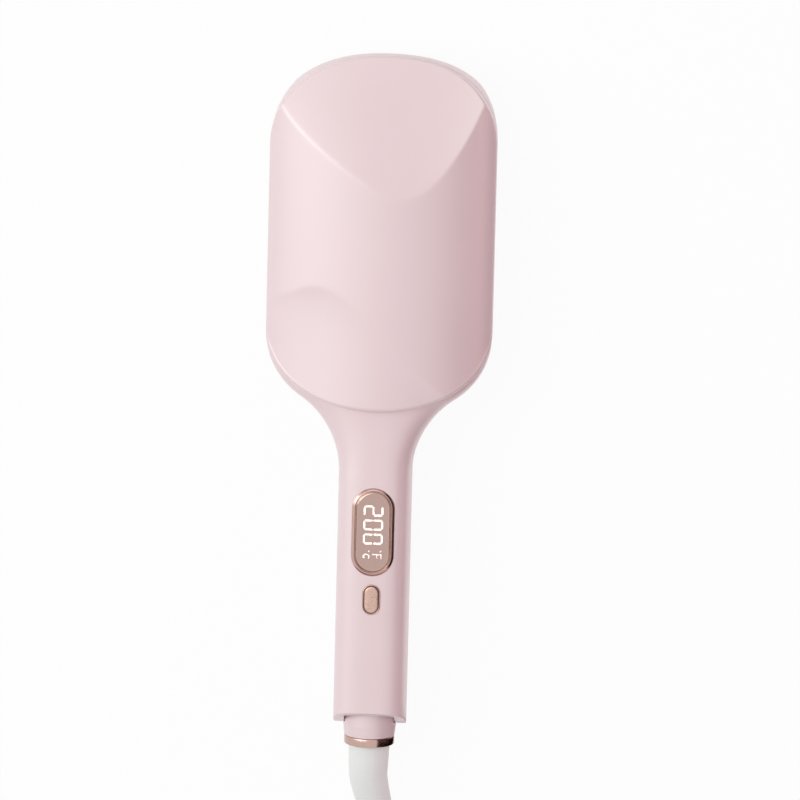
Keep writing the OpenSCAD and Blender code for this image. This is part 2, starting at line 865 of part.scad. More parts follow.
// Temperature sensor on a clamp
module sensor_bead(x) {
  translate([x, plate_y + plate_len / 2, clamp_top]) {
    translate([0, 0, sensor_r]) rotate([90, 0, 0]) cylinder(r = sensor_r, h = 6, center = true);
    strap(sensor_r, -0.75);
  }
}

module front_sensor() {
  color("#3a3a3a") arm(front) sensor_bead(heater_xs_front[1]);
}

module back_sensor() {
  color("#3a3a3a") arm(back) sensor_bead(heater_xs_back[0]);
}

module front_plate_screws() {
  color("#a0a0a0") arm(front) plate_screws(front);
}

module back_plate_screws() {
  color("#a0a0a0") arm(back) plate_screws(back);
}

module front_clamp_screws() {
  color("#a0a0a0") arm(front) clamp_screws(front);
}

module back_clamp_screws() {
  color("#a0a0a0") arm(back) clamp_screws(back);
}

module front_cover_screws() {
  color("#a0a0a0") arm(front) cover_screws();
}

module back_cover_screws() {
  color("#a0a0a0") arm(back) cover_screws();
}

// Handle liners

module liner_plate(side) {
  start = side == front ? contact_y[1] + 3 : cradle_y + 1;
  difference() {
    box_at([-inner_half + clear, inner_half - clear], [start, split_y - clear],
           [rim_h, liner_top]);
    for (x = [-1, 1], y = liner_screw_y) translate([x * liner_screw_x, y, -1]) {
      cylinder(r = screw_r + 0.1, h = 10);
      cylinder(r = head_r + 0.2, h = 1 + rim_h + head_t);
    }
    translate([0, spring_y, -1]) cylinder(r = spring_r + 1.2, h = 10);
    if (side == back)
      box_at([-catch_half - 1, catch_half + 1], [post_y - 0.6, catch_y + post_t + 2], [-1, 10]);
    else
      box_at([-catch_half - 0.1, catch_half + 0.1], [catch_y - 0.1, catch_y + post_t + 0.1],
             [-1, 10]);
  }
}

module liner_screws() {
  for (x = [-1, 1], y = liner_screw_y)
    translate([x * liner_screw_x, y, rim_h + head_t]) screw(screw_len);
}

// Front liner with the board's standoffs
module front_handle_liner() {
  color("#dcc4c8") arm(front) difference() {
    union() {
      liner_plate(front);
      for (x = [-1, 1], y = board_screw_y)
        translate([x * board_screw_x, y, rim_h + 1]) cylinder(r = 2, h = board_h - rim_h - 1);
    }
    for (x = [-1, 1], y = board_screw_y)
      translate([x * board_screw_x, y, board_h - 4]) cylinder(r = 0.9, h = 5);
  }
}

// Hook that the lock catches: its foot lies on the front liner and its post goes through it
module lock_catch() {
  foot = [catch_y - catch_foot, catch_y + post_t + catch_foot];
  color("#dcc4c8") arm(front) {
    box_at([-catch_half - catch_foot, catch_half + catch_foot], foot, [liner_top, liner_top + 1]);
    box_at([-catch_half, catch_half], [catch_y, catch_y + post_t],
           [-catch_drop - hook_t, liner_top + 1]);
    box_at([-catch_half, catch_half], [catch_y - hook_len, catch_y + 1],
           [-catch_drop - hook_t, -catch_drop]);
  }
}

module back_handle_liner() {
  color("#dcc4c8") arm(back) liner_plate(back);
}

module front_liner_screws() {
  color("#a0a0a0") arm(front) liner_screws();
}

module back_liner_screws() {
  color("#a0a0a0") arm(back) liner_screws();
}

// Display

module display_bezel() {
  color("#b08a7e") arm(front) translate([0, display_y, 0]) difference() {
    stadium_block(display_w, display_len, handle_h - 3.9, display_top);
    stadium_block(display_in_w, display_in_len, lens_h, handle_h + 2);
    stadium_block(display_in_w - 2 * ledge, display_in_len - 2 * ledge, 0, handle_h + 2);
  }
}

module display_lens() {
  color("#c3a096") arm(front) translate([0, display_y, 0])
    stadium_block(display_in_w - 0.2, display_in_len - 0.2, lens_h, lens_h + lens_t);
}

module display_module() {
  color("#2c2a2b") arm(front) translate([0, display_y, 0])
    stadium_block(display_in_w - 2 * ledge - 0.4, display_in_len - 2 * ledge - 0.4,
                  board_top, lens_h - digit_t);
}

// One bar of a digit, as a slim hexagon of the given length along its own x axis
module bar(length) {
  t = bar_t / 2;
  polygon([[-length / 2, 0], [-length / 2 + t, t], [length / 2 - t, t],
    [length / 2, 0], [length / 2 - t, -t], [-length / 2 + t, -t]]);
}

// A digit upright in its own frame, from its lit bars
module digit(lit) {
  w = digit_w - bar_t;
  h = digit_h - bar_t;
  gap = 0.25;
  at = [[0, h / 2, 0], [w / 2, h / 4, 90], [w / 2, -h / 4, 90], [0, -h / 2, 0],
    [-w / 2, -h / 4, 90], [-w / 2, h / 4, 90], [0, 0, 0]];
  for (k = [0:6]) if (lit[k] == 1)
    translate([at[k][0], at[k][1]]) rotate(at[k][2])
      bar((at[k][2] == 0 ? w : h / 2) - gap);
}

// The reading and the two unit signs, read with the tail to the right
module display_digits() {
  first_y = display_y + digit_pitch * 1.45;
  color("white") arm(front) translate([0, 0, lens_h - digit_t]) linear_extrude(digit_t) {
    for (k = [0:2]) translate([0, first_y - k * digit_pitch]) rotate(-90) digit(digit_bars[k]);
    translate([2.1, first_y - 3.1 * digit_pitch]) rotate(-90) unit_sign([1, 0, 0, 0, 1, 1, 1]);
    translate([-2.8, first_y - 3.1 * digit_pitch]) rotate(-90) unit_sign([1, 0, 0, 1, 1, 1, 0]);
  }
}

// A small unit letter drawn with the same seven bars, and its degree dot
module unit_sign(lit) {
  scale(0.42) digit(lit);
  translate([-1.7, 1.5]) circle(r = 0.35);
}

// Board

module control_board() {
  color("#2f6b45") arm(front) difference() {
    box_at([-board_w / 2, board_w / 2], [board_y, board_y + board_len], [board_h, board_top]);
    for (x = [-1, 1], y = board_screw_y)
      translate([x * board_screw_x, y, 0]) cylinder(r = 1, h = 20);
  }
}

// Capacitor, relay and mains fuse under the board
module board_parts() {
  color("#3b3f58") arm(front) {
    box_at([-relay_half, relay_half], relay_y, [board_h - part_room + 0.2, board_h]);
    box_at(capacitor_x, capacitor_y, [board_h - part_room, board_h]);
    translate([0, mains_fuse_y, board_h - mains_fuse_r]) rotate([0, 90, 0])
      cylinder(r = mains_fuse_r, h = mains_fuse_len, center = true);
    side_boxes(fuse_clip_x, [mains_fuse_y - fuse_clip_half, mains_fuse_y + fuse_clip_half],
               [board_h - part_room + 0.8, board_h]);
  }
}

module board_screws() {
  color("#a0a0a0") arm(front) for (x = [-1, 1], y = board_screw_y)
    translate([x * board_screw_x, y, board_top]) {
      cylinder(r = 1.7, h = 1.1);
      translate([0, 0, -board_t - 2.5]) cylinder(r = 0.85, h = board_t + 2.5);
    }
}

module tact_switch() {
  color("#1f1f1f") arm(front) translate([0, button_y, board_top]) {
    translate([-3, -3, 0]) cube([6, 6, switch_h]);
    cylinder(r = 1.5, h = switch_h + switch_nub);
  }
}

// Button

module button_bezel() {
  color("#b08a7e") arm(front) translate([0, button_y, 0]) difference() {
    stadium_block(button_w, button_len, button_flange_h + button_flange_t + 0.2, handle_h + 0.2);
    stadium_block(button_in_w, button_in_len, 0, handle_h + 2);
  }
}

module power_button() {
  color("#c9a599") arm(front) translate([0, button_y, 0]) {
    stadium_block(button_in_w - 0.4, button_in_len - 0.4, button_flange_h, button_top);
    stadium_block(button_w - 0.5, button_len - 0.5,
                  button_flange_h, button_flange_h + button_flange_t);
  }
}

module switch_plunger() {
  nub_top = board_top + switch_h + switch_nub;
  color("#efefef") arm(front) translate([0, button_y, nub_top + button_travel + 0.1])
    cylinder(r = 1.8, h = button_flange_h - nub_top - button_travel - 0.1);
}

// Tail

// Block at the end of the handle: carries the hinge pins and the swivel
module tail_block() {
  color("#e6cfd2") arm(back) difference() {
    union() {
      translate([0, -neck_len, 0]) rotate([-90, 0, 0])
        cylinder(r1 = neck_end_r, r2 = neck_r, h = neck_len);
      intersection() {
        rotate([-90, 0, 0]) cylinder(r = neck_r, h = block_in);
        union() {
          box_at([-neck_r, neck_r], [-1, hinge_y - ear_r - ear_gap], [-neck_r, neck_r]);
          box_at([-block_half, block_half], [-1, block_in], [-neck_r, neck_r]);
        }
      }
      box_at([-cradle_half, cradle_half], [block_in - 1, cradle_y],
             [cradle_h, cradle_h + cradle_t]);
    }
    translate([0, -neck_len - 1, 0]) rotate([-90, 0, 0])
      cylinder(r = bush_bore_r, h = neck_len + block_in + 2);
    for (s = [-1, 1]) translate([s * (pin_in + 5), hinge_y, 0]) rotate([0, 90, 0])
      cylinder(r = hinge_pin_r, h = 10, center = true);
    cradle_places() translate([0, 0, cradle_h - 1]) cylinder(r = screw_r + 0.1, h = cradle_t + 2);
  }
}

module hinge_pins() {
  color("#b5b5b5") arm(front) for (s = [-1, 1])
    translate([s * (pin_in + ear_out) / 2, hinge_y, 0]) rotate([0, 90, 0])
      cylinder(r = hinge_pin_r, h = ear_out - pin_in, center = true);
}

module tail_screws() {
  color("#a0a0a0") arm(back) cradle_places() translate([0, 0, cradle_h]) screw(screw_len + 1);
}

// Bush that turns with the cord: collar under the ring, groove for the clip, nose for the slip rings
module swivel_bush() {
  collar_y = -neck_len - swivel_gap - collar_t;
  color("#d8d8d8") arm(front) rotate([-90, 0, 0]) difference() {
    union() {
      translate([0, 0, collar_y]) cylinder(r = ring_bore_r, h = collar_t);
      translate([0, 0, collar_y]) cylinder(r = bush_r, h = block_in + clip_t + 0.8 - collar_y);
      cylinder(r = nose_r, h = contact_y[1] + 2);
    }
    translate([0, 0, block_in + 0.1]) difference() {
      cylinder(r = bush_r + 1, h = clip_t);
      translate([0, 0, -1]) cylinder(r = groove_r, h = clip_t + 2);
    }
    translate([0, 0, collar_y - 1]) cylinder(r = cord_d / 2 + 0.2, h = block_in - collar_y - 2);
  }
}

// Open ring in the bush's groove that keeps it in the block
module swivel_clip() {
  color("#a0a0a0") arm(front) translate([0, block_in + 0.1, 0]) rotate([-90, 0, 0]) difference() {
    cylinder(r = clip_r, h = clip_t);
    translate([0, 0, -1]) cylinder(r = groove_r, h = clip_t + 2);
    translate([0, -2.5, -1]) cube([clip_r + 1, 5, clip_t + 2]);
  }
}

module slip_rings() {
  color("#c9a24a") arm(front) for (y = contact_y) translate([0, y, 0]) rotate([-90, 0, 0])
    difference() {
      translate([0, 0, -1]) cylinder(r = nose_r + 0.8, h = 2);
      translate([0, 0, -2]) cylinder(r = nose_r, h = 4);
    }
}

module tail_ring() {
  color("#b08a7e") arm(front) translate([0, -tail_end, 0]) rotate([-90, 0, 0]) difference() {
    cylinder(r = ring_r, h = ring_len - swivel_gap);
    translate([0, 0, -1]) cylinder(r = ring_bore_r, h = ring_len + 2);
  }
}

// Spring contacts that press on the slip rings
module brush_contacts() {
  color("#c9a24a") arm(back) for (y = contact_y) {
    box_at([-2.5, 2.5], [y - 0.3, y + 0.3], [nose_r + 0.8 + clear, cradle_h]);
    box_at([-2.5, 2.5], [y - 1.6, y + 0.3], [cradle_h - 0.5, cradle_h]);
  }
}

// Points along the arm spring's wire
spring_len = spring_back_h + spring_front_h;
spring_turns = 6;
spring_points = [for (k = [0:spring_turns * 12])
  let (a = k * 30, rise = max(0, min(1, (k - 6) / (spring_turns * 12 - 12))))
  [spring_r * cos(a), spring_r * sin(a),
   spring_wire_r + rise * (spring_len - 2 * spring_wire_r)]];

module hinge_spring() {
  color("#9a9a9a") translate([0, spring_y - mid_y, parting_z - spring_back_h])
    tube(spring_points, [for (p = spring_points) spring_wire_r], 6);
}

// Slider on the back: its hook goes over the front liner's catch and holds the arms shut
module lock_slider() {
  color("#e6cfd2") arm(back) {
    box_at([-lock_half, lock_half], [lock_y, lock_y + lock_len], [floor_h - 2.1, floor_h - 0.3]);
    box_at([-knob_half, knob_half], [knob_y, knob_y + knob_len], [floor_h - 1, parting_z - 0.7]);
    box_at([-hook_half, hook_half], [post_y, post_y + post_t], [hook_h, floor_h - 1]);
    box_at([-hook_half, hook_half], [post_y, post_y + post_t + hook_len],
           [hook_h, hook_h + hook_t]);
  }
}

// Cord

// Tube with a flat-sided round section along points that never run straight up
module tube(points, radii, sides) {
  last = len(points) - 1;
  rings = [for (k = [0:last])
    let (t = points[min(last, k + 1)] - points[max(0, k - 1)],
         dir = t / norm(t),
         side_v = cross(dir, [0, 0, 1]),
         across = side_v / norm(side_v),
         up = cross(across, dir))
    [for (i = [0:sides - 1]) let (a = 360 * i / sides)
      points[k] + radii[k] * (across * cos(a) + up * sin(a))]];
  loft(rings);
}

module at_tail() {
  translate([0, -mid_y - neck_len, 0]) children();
}

module cord_guard() {
  last = len(guard_route) - 1;
  radii = [for (k = [0:last]) guard_r - (guard_r - guard_end_r) * pow(k / last, 1.7)];
  color("#efefee") at_tail() tube(guard_route, radii, 12);
}

module power_cord() {
  color("#f2f2f0") at_tail() tube(cord_route, [for (p = cord_route) cord_d / 2], 10);
}

module plug_cord() {
  color("#f2f2f0") at_tail() tube(plug_route, [for (p = plug_route) cord_d / 2], 10);
}

module cord_coil() {
  color("#f2f2f0") at_tail() translate(coil_at) rotate_extrude() translate([coil_r, coil_h / 2])
    offset(r = 4) square([coil_t - 8, coil_h - 8], center = true);
}

module cord_tie() {
  color("#dddddd") at_tail() translate(coil_at + [0, -coil_r, 0]) difference() {
    translate([-4, -coil_t / 2 - 1.4, -1]) cube([8, coil_t + 2.8, coil_h + 2]);
    translate([-5, -coil_t / 2 - 0.5, 0]) cube([10, coil_t + 1, coil_h]);
  }
}

// Flat two-pin plug
module plug_body() {
  color("#f2f2f0") at_tail() translate(plug_at) difference() {
    union() {
      translate([0, plug_taper, 0]) rotate([-90, 0, 0]) linear_extrude(plug_body_len)
        stadium_wide(plug_body_w, plug_body_t);
      rotate([-90, 0, 0]) cylinder(r1 = 5, r2 = plug_body_t / 2, h = plug_taper + 0.5);
    }
    for (s = [-1, 1])
      translate([s * plug_pin_pitch / 2, plug_taper + plug_body_len - plug_root_len, 0])
        rotate([-90, 0, 0]) cylinder(r = plug_root_r, h = plug_root_len + 1);
  }
}

module stadium_wide(w, h) {
  rotate(90) stadium(h, w);
}

// Pins, thinner where they stand in the body
module plug_pins() {
  color("#c9c9c9") at_tail() translate(plug_at) for (s = [-1, 1])
    translate([s * plug_pin_pitch / 2, plug_taper + plug_body_len, 0]) rotate([-90, 0, 0]) {
      cylinder(r = plug_pin_r, h = plug_pin_len);
      translate([0, 0, -plug_root_len]) cylinder(r = plug_root_r, h = plug_root_len + 1);
    }
}

// Wires

// Middle of a lead's end on a heater, beside the clamp
lead_dx = (heater_w / 2 + clamp_half) / 2;
over_frame = rim_h + frame_t + wire_r + 0.3;
lane_x = 4.2;
lane_h = 12;

module wire(route) {
  tube(route, [for (p = route) wire_r], 8);
}

// Two leads from the board to each of the front heaters
module front_wires() {
  board_end = board_y + board_len;
  color("#e8e8e8") arm(front) for (s = [-1, 1], d = [-1, 1]) {
    x0 = s * (3.4 + 1.4 * d);
    x1 = s * (wave_pitch / 2 + lead_dx * d);
    bend_y = fold_y + 17 - 2.5 * d;
    wire([[x0, board_end, board_h + wire_r], [x0, board_end + 5, board_h + wire_r],
      [x0, bend_y - 4, 6], [x0 + s * 4, bend_y, 5],
      [x1 - s * 4, plate_y - 4, over_frame], [x1, plate_y + 0.5, over_frame],
      [x1, heater_y - 1.5, land_h + 2], [x1, heater_y, land_h + 2]]);
  }
}

// Two leads from the contacts to the back heater
module back_wires() {
  h0 = cradle_h + cradle_t / 2;
  color("#e8e8e8") arm(back) for (s = [-1, 1])
    wire([[s * 2 * lane_x, cradle_y, h0], [s * 2 * lane_x, cradle_y + 3, h0],
      [s * 2 * lane_x, spring_y + 2, lane_h], [s * lane_x, lock_y + 1, lane_h],
      [s * lane_x, catch_y + 10, lane_h], [s * lane_x, fold_y + 10, lane_h - 1],
      [s * lead_dx, plate_y - 4, over_frame], [s * lead_dx, plate_y + 0.5, over_frame],
      [s * lead_dx, heater_y - 1.5, land_h + 2], [s * lead_dx, heater_y, land_h + 2]]);
}

front_handle_shell();
front_head_cover();
front_inner_frame();
front_handle_liner();
lock_catch();
front_wave_plate();
front_heaters();
front_heater_clamps();
front_insulation_pad();
front_thermal_fuse();
front_sensor();
front_plate_screws();
front_clamp_screws();
front_cover_screws();
front_liner_screws();
front_wires();
display_bezel();
display_lens();
display_module();
display_digits();
control_board();
board_parts();
board_screws();
tact_switch();
button_bezel();
power_button();
switch_plunger();
back_handle_shell();
back_head_cover();
back_inner_frame();
back_handle_liner();
back_wave_plate();
back_heater();
back_heater_clamp();
back_insulation_pad();
back_sensor();
back_plate_screws();
back_clamp_screws();
back_cover_screws();
back_liner_screws();
back_wires();
tail_block();
tail_screws();
hinge_pins();
hinge_spring();
brush_contacts();
lock_slider();
swivel_bush();
swivel_clip();
slip_rings();
tail_ring();
cord_guard();
power_cord();
cord_coil();
cord_tie();
plug_cord();
plug_body();
plug_pins();
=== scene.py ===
import json
import logging
import math
from dataclasses import dataclass, field
from enum import Enum
from functools import cached_property
from typing import Sequence

import bmesh
import bpy
import numpy as np
from mathutils import Matrix, Vector


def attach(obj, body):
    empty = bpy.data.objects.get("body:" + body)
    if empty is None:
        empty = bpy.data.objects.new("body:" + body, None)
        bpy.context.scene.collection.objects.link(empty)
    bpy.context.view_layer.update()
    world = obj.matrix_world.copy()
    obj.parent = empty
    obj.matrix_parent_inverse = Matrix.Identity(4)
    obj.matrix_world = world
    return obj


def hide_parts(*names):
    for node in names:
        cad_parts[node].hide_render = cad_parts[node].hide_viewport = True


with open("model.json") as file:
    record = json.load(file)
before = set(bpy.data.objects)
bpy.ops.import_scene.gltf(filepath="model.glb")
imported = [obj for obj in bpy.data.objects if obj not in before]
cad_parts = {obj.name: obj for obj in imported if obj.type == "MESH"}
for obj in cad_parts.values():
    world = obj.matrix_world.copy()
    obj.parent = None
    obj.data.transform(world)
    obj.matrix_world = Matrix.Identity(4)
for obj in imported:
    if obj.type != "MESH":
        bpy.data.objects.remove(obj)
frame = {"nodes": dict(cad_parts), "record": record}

Array = np.ndarray
Faces = np.ndarray

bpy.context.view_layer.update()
LOG = logging.getLogger("hair_waver")

# The row frame in the tool's own millimetres: y counts from the handle's end,
# h is the height away from the plane where the two arms part.
MID_Y = 150.3
PARTING_Z = 22.0
CORD_Y = 155.5


class Side(Enum):
    """The two arms, by the sign of their height axis."""

    FRONT = 1
    BACK = -1


class Body(Enum):
    """Names of the bodies that pieces ride on."""

    BACK_ARM = "back_arm"
    FRONT_ARM = "front_arm"
    BUTTON = "button"
    SWIVEL = "swivel"


def smooth_min(a: Array, b: Array, width: float) -> Array:
    """Lower of two surfaces, with the edge where they cross rounded.

    Formula: with t = clamp(1/2 + (b - a) / (2 width)), the value is
    b (1 - t) + a t - width t (1 - t).

    Args:
        a: Heights of the first surface.
        b: Heights of the second surface.
        width: Height difference over which they blend.

    Returns:
        The blended heights.
    """
    t = np.clip(0.5 + (b - a) / (2 * width), 0, 1)
    return b * (1 - t) + a * t - width * t * (1 - t)


def arm_points(x: Array, y: Array, h: Array, side: Side) -> Array:
    """Points of an arm as rows of x, y, z in the row frame, in millimetres."""
    x, y, h = np.broadcast_arrays(x, y, h)
    return np.stack([x, y - MID_Y, PARTING_Z + side.value * h], axis=-1)


def grid_faces(rows: int, columns: int, wrap: bool = False) -> Faces:
    """Quads of a grid of points, counted row by row.

    Args:
        rows: Number of rows of points.
        columns: Number of points in a row.
        wrap: True where each row is a closed loop.

    Returns:
        An array of four point numbers a quad.
    """
    i, j = np.meshgrid(np.arange(rows - 1), np.arange(columns - (not wrap)), indexing="ij")
    a = i * columns + j
    b = i * columns + (j + 1) % columns
    return np.stack([a, b, b + columns, a + columns], axis=-1).reshape(-1, 4)


def open_edges(faces: Faces) -> Array:
    """Directed edges that only one face uses, found by counting each pair of points.

    Args:
        faces: Quads of one surface, all turned the same way.

    Returns:
        Pairs of point numbers in the direction of their face.
    """
    pairs = np.concatenate([faces[:, [k, (k + 1) % 4]] for k in range(4)])
    pairs = pairs[pairs[:, 0] != pairs[:, 1]]
    size = int(pairs.max()) + 1
    key = pairs[:, 0] * size + pairs[:, 1]
    back = pairs[:, 1] * size + pairs[:, 0]
    return pairs[~np.isin(key, back)]


@dataclass
class Surface:
    """Points and faces gathered from grids, ready to become one mesh."""

    points: list[Array] = field(default_factory=list)
    faces: list[Faces] = field(default_factory=list)
    count: int = 0

    def add(self, points: Array, faces: Faces) -> None:
        """Adds points of any grid shape and the faces between them.

        Args:
            points: Points of any grid shape.
            faces: Point numbers of each face, counted from the first of these points.
        """
        flat = np.asarray(points, float).reshape(-1, 3)
        self.points.append(flat)
        self.faces.append(np.asarray(faces) + self.count)
        self.count += len(flat)

    def add_grid(self, points: Array, wrap: bool = False) -> None:
        """Adds a grid of points, rows by columns, whose rows may be closed loops."""
        self.add(points, grid_faces(points.shape[0], points.shape[1], wrap))

    def add_tube(self, rings: Array) -> None:
        """Adds closed rings joined to a tube, with both ends closed to their middles.

        Args:
            rings: Rings by points by coordinates.
        """
        first = np.broadcast_to(rings[:1].mean(axis=1, keepdims=True), rings[:1].shape)
        last = np.broadcast_to(rings[-1:].mean(axis=1, keepdims=True), rings[-1:].shape)
        self.add_grid(np.concatenate([first, rings, last]), wrap=True)

    def add_wall(self, outer: Array, inner: Array, faces: Faces, closed: int = 0) -> None:
        """Adds two skins with the same faces, joined along their open edges.

        Args:
            outer: Points of the outer skin.
            inner: Points of the inner skin, in the same order.
            faces: Quads of one skin.
            closed: Number of first points that close up on each other by themselves.
        """
        outer, inner = outer.reshape(-1, 3), inner.reshape(-1, 3)
        size = len(outer)
        edges = open_edges(faces)
        edges = edges[edges.min(axis=1) >= closed]
        rim = np.stack([edges[:, 1], edges[:, 0], edges[:, 0] + size, edges[:, 1] + size], -1)
        self.add(np.concatenate([outer, inner]),
                 np.concatenate([faces, faces[:, ::-1] + size, rim]))

    def build(self, name: str, sharp: float = 35.0) -> bpy.types.Object:
        """Makes the mesh: merges doubles, turns the faces outwards and smooths them.

        Args:
            name: Name of the piece.
            sharp: Angle in degrees from which an edge stays sharp.

        Returns:
            The new object, at the origin, with its place in its mesh.
        """
        points = np.concatenate(self.points) / 1000
        mesh = bpy.data.meshes.new(name)
        mesh.from_pydata(points, [], [f for group in self.faces for f in group.tolist()])
        work = bmesh.new()
        work.from_mesh(mesh)
        bmesh.ops.remove_doubles(work, verts=work.verts, dist=2e-6)
        bmesh.ops.dissolve_degenerate(work, edges=work.edges, dist=1e-7)
        bmesh.ops.recalc_face_normals(work, faces=work.faces)
        work.to_mesh(mesh)
        work.free()
        mesh.polygons.foreach_set("use_smooth", np.ones(len(mesh.polygons), bool))
        mesh.set_sharp_from_angle(angle=math.radians(sharp))
        piece = bpy.data.objects.new(name, mesh)
        bpy.context.scene.collection.objects.link(piece)
        return piece


def stadium(width: float, length: float, arc: int = 24, straight: int = 8) -> tuple[Array, Array]:
    """Closed outline of a stadium and its outward normals.

    Formula: two half circles of radius width / 2 about (0, +-(length - width) / 2),
    joined by straight sides.

    Args:
        width: Size across.
        length: Size along y.
        arc: Points on each half circle.
        straight: Points inside each straight side.

    Returns:
        The points and the normals, one row each.
    """
    radius, reach = width / 2, (length - width) / 2
    turn = np.linspace(0, np.pi, arc)
    step = np.linspace(reach, -reach, straight + 2)[1:-1]
    top = np.stack([np.cos(turn), np.sin(turn)], -1)
    points = np.concatenate([
        top * radius + [0, reach], np.stack([np.full(straight, -radius), step], -1),
        -top * radius - [0, reach], np.stack([np.full(straight, radius), -step], -1)])
    left = np.tile([-1.0, 0.0], (straight, 1))
    return points, np.concatenate([top, left, -top, -left])


def ring_points(centre: Array, along: Array, radius: Array, sides: int) -> Array:
    """Rings of points round a path.

    Formula: centre + radius (u cos a + v sin a), where u and v stand square to the path's
    direction: u is the direction crossed with the row's up axis, and v crosses both.

    Args:
        centre: Points of the path, one row each.
        along: Directions of the path at those points.
        radius: Radius at each point.
        sides: Points a ring.

    Returns:
        An array of rings, points and coordinates.
    """
    along = along / np.linalg.norm(along, axis=1, keepdims=True)
    across = np.cross(along, [0.0, 0.0, 1.0])
    across /= np.linalg.norm(across, axis=1, keepdims=True)
    up = np.cross(across, along)
    turn = np.linspace(0, 2 * np.pi, sides, endpoint=False)[:, None]
    return (centre[:, None] + radius[:, None, None]
            * (across[:, None] * np.cos(turn) + up[:, None] * np.sin(turn)))


def spline(points: Sequence[Sequence[float]], samples: int) -> Array:
    """Smooth curve through points, evenly stepped.

    Formula: a cubic Hermite curve over the summed steps between the points, whose slope at
    a point is that of the parabola through it and its two neighbours. It is sampled finely
    and then resampled by its length.

    Args:
        points: Points that the curve goes through.
        samples: Number of points given back.

    Returns:
        The points of the curve, one row each.
    """
    knots = np.asarray(points, float)
    along = np.concatenate([[0], np.cumsum(np.linalg.norm(np.diff(knots, axis=0), axis=1))])
    slope = np.gradient(knots, along, axis=0, edge_order=2)
    s = np.linspace(0, along[-1], 60 * len(knots))
    k = np.clip(np.searchsorted(along, s, side="right") - 1, 0, len(knots) - 2)
    step = (along[k + 1] - along[k])[:, None]
    t = (s - along[k])[:, None] / step
    fine = ((2 * t**3 - 3 * t**2 + 1) * knots[k] + (t**3 - 2 * t**2 + t) * step * slope[k]
            + (3 * t**2 - 2 * t**3) * knots[k + 1] + (t**3 - t**2) * step * slope[k + 1])
    run = np.concatenate([[0], np.cumsum(np.linalg.norm(np.diff(fine, axis=0), axis=1))])
    wanted = np.linspace(0, run[-1], samples)
    return np.stack([np.interp(wanted, run, fine[:, c]) for c in range(3)], -1)


def place(piece: bpy.types.Object, body: Body, slot: str, *nodes: str) -> bpy.types.Object:
    """Lets a piece ride on a body and stand for CAD nodes, and reports it.

    Args:
        piece: The finished piece.
        body: The body that it moves with.
        slot: The record's material slot; not used.
        nodes: CAD nodes that it stands for.

    Returns:
        The piece.
    """
    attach(piece, body.value)
    if nodes:
        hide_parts(*nodes)
    LOG.info("%s: %d faces, rides on %s", piece.name, len(piece.data.polygons), body.value)
    return piece


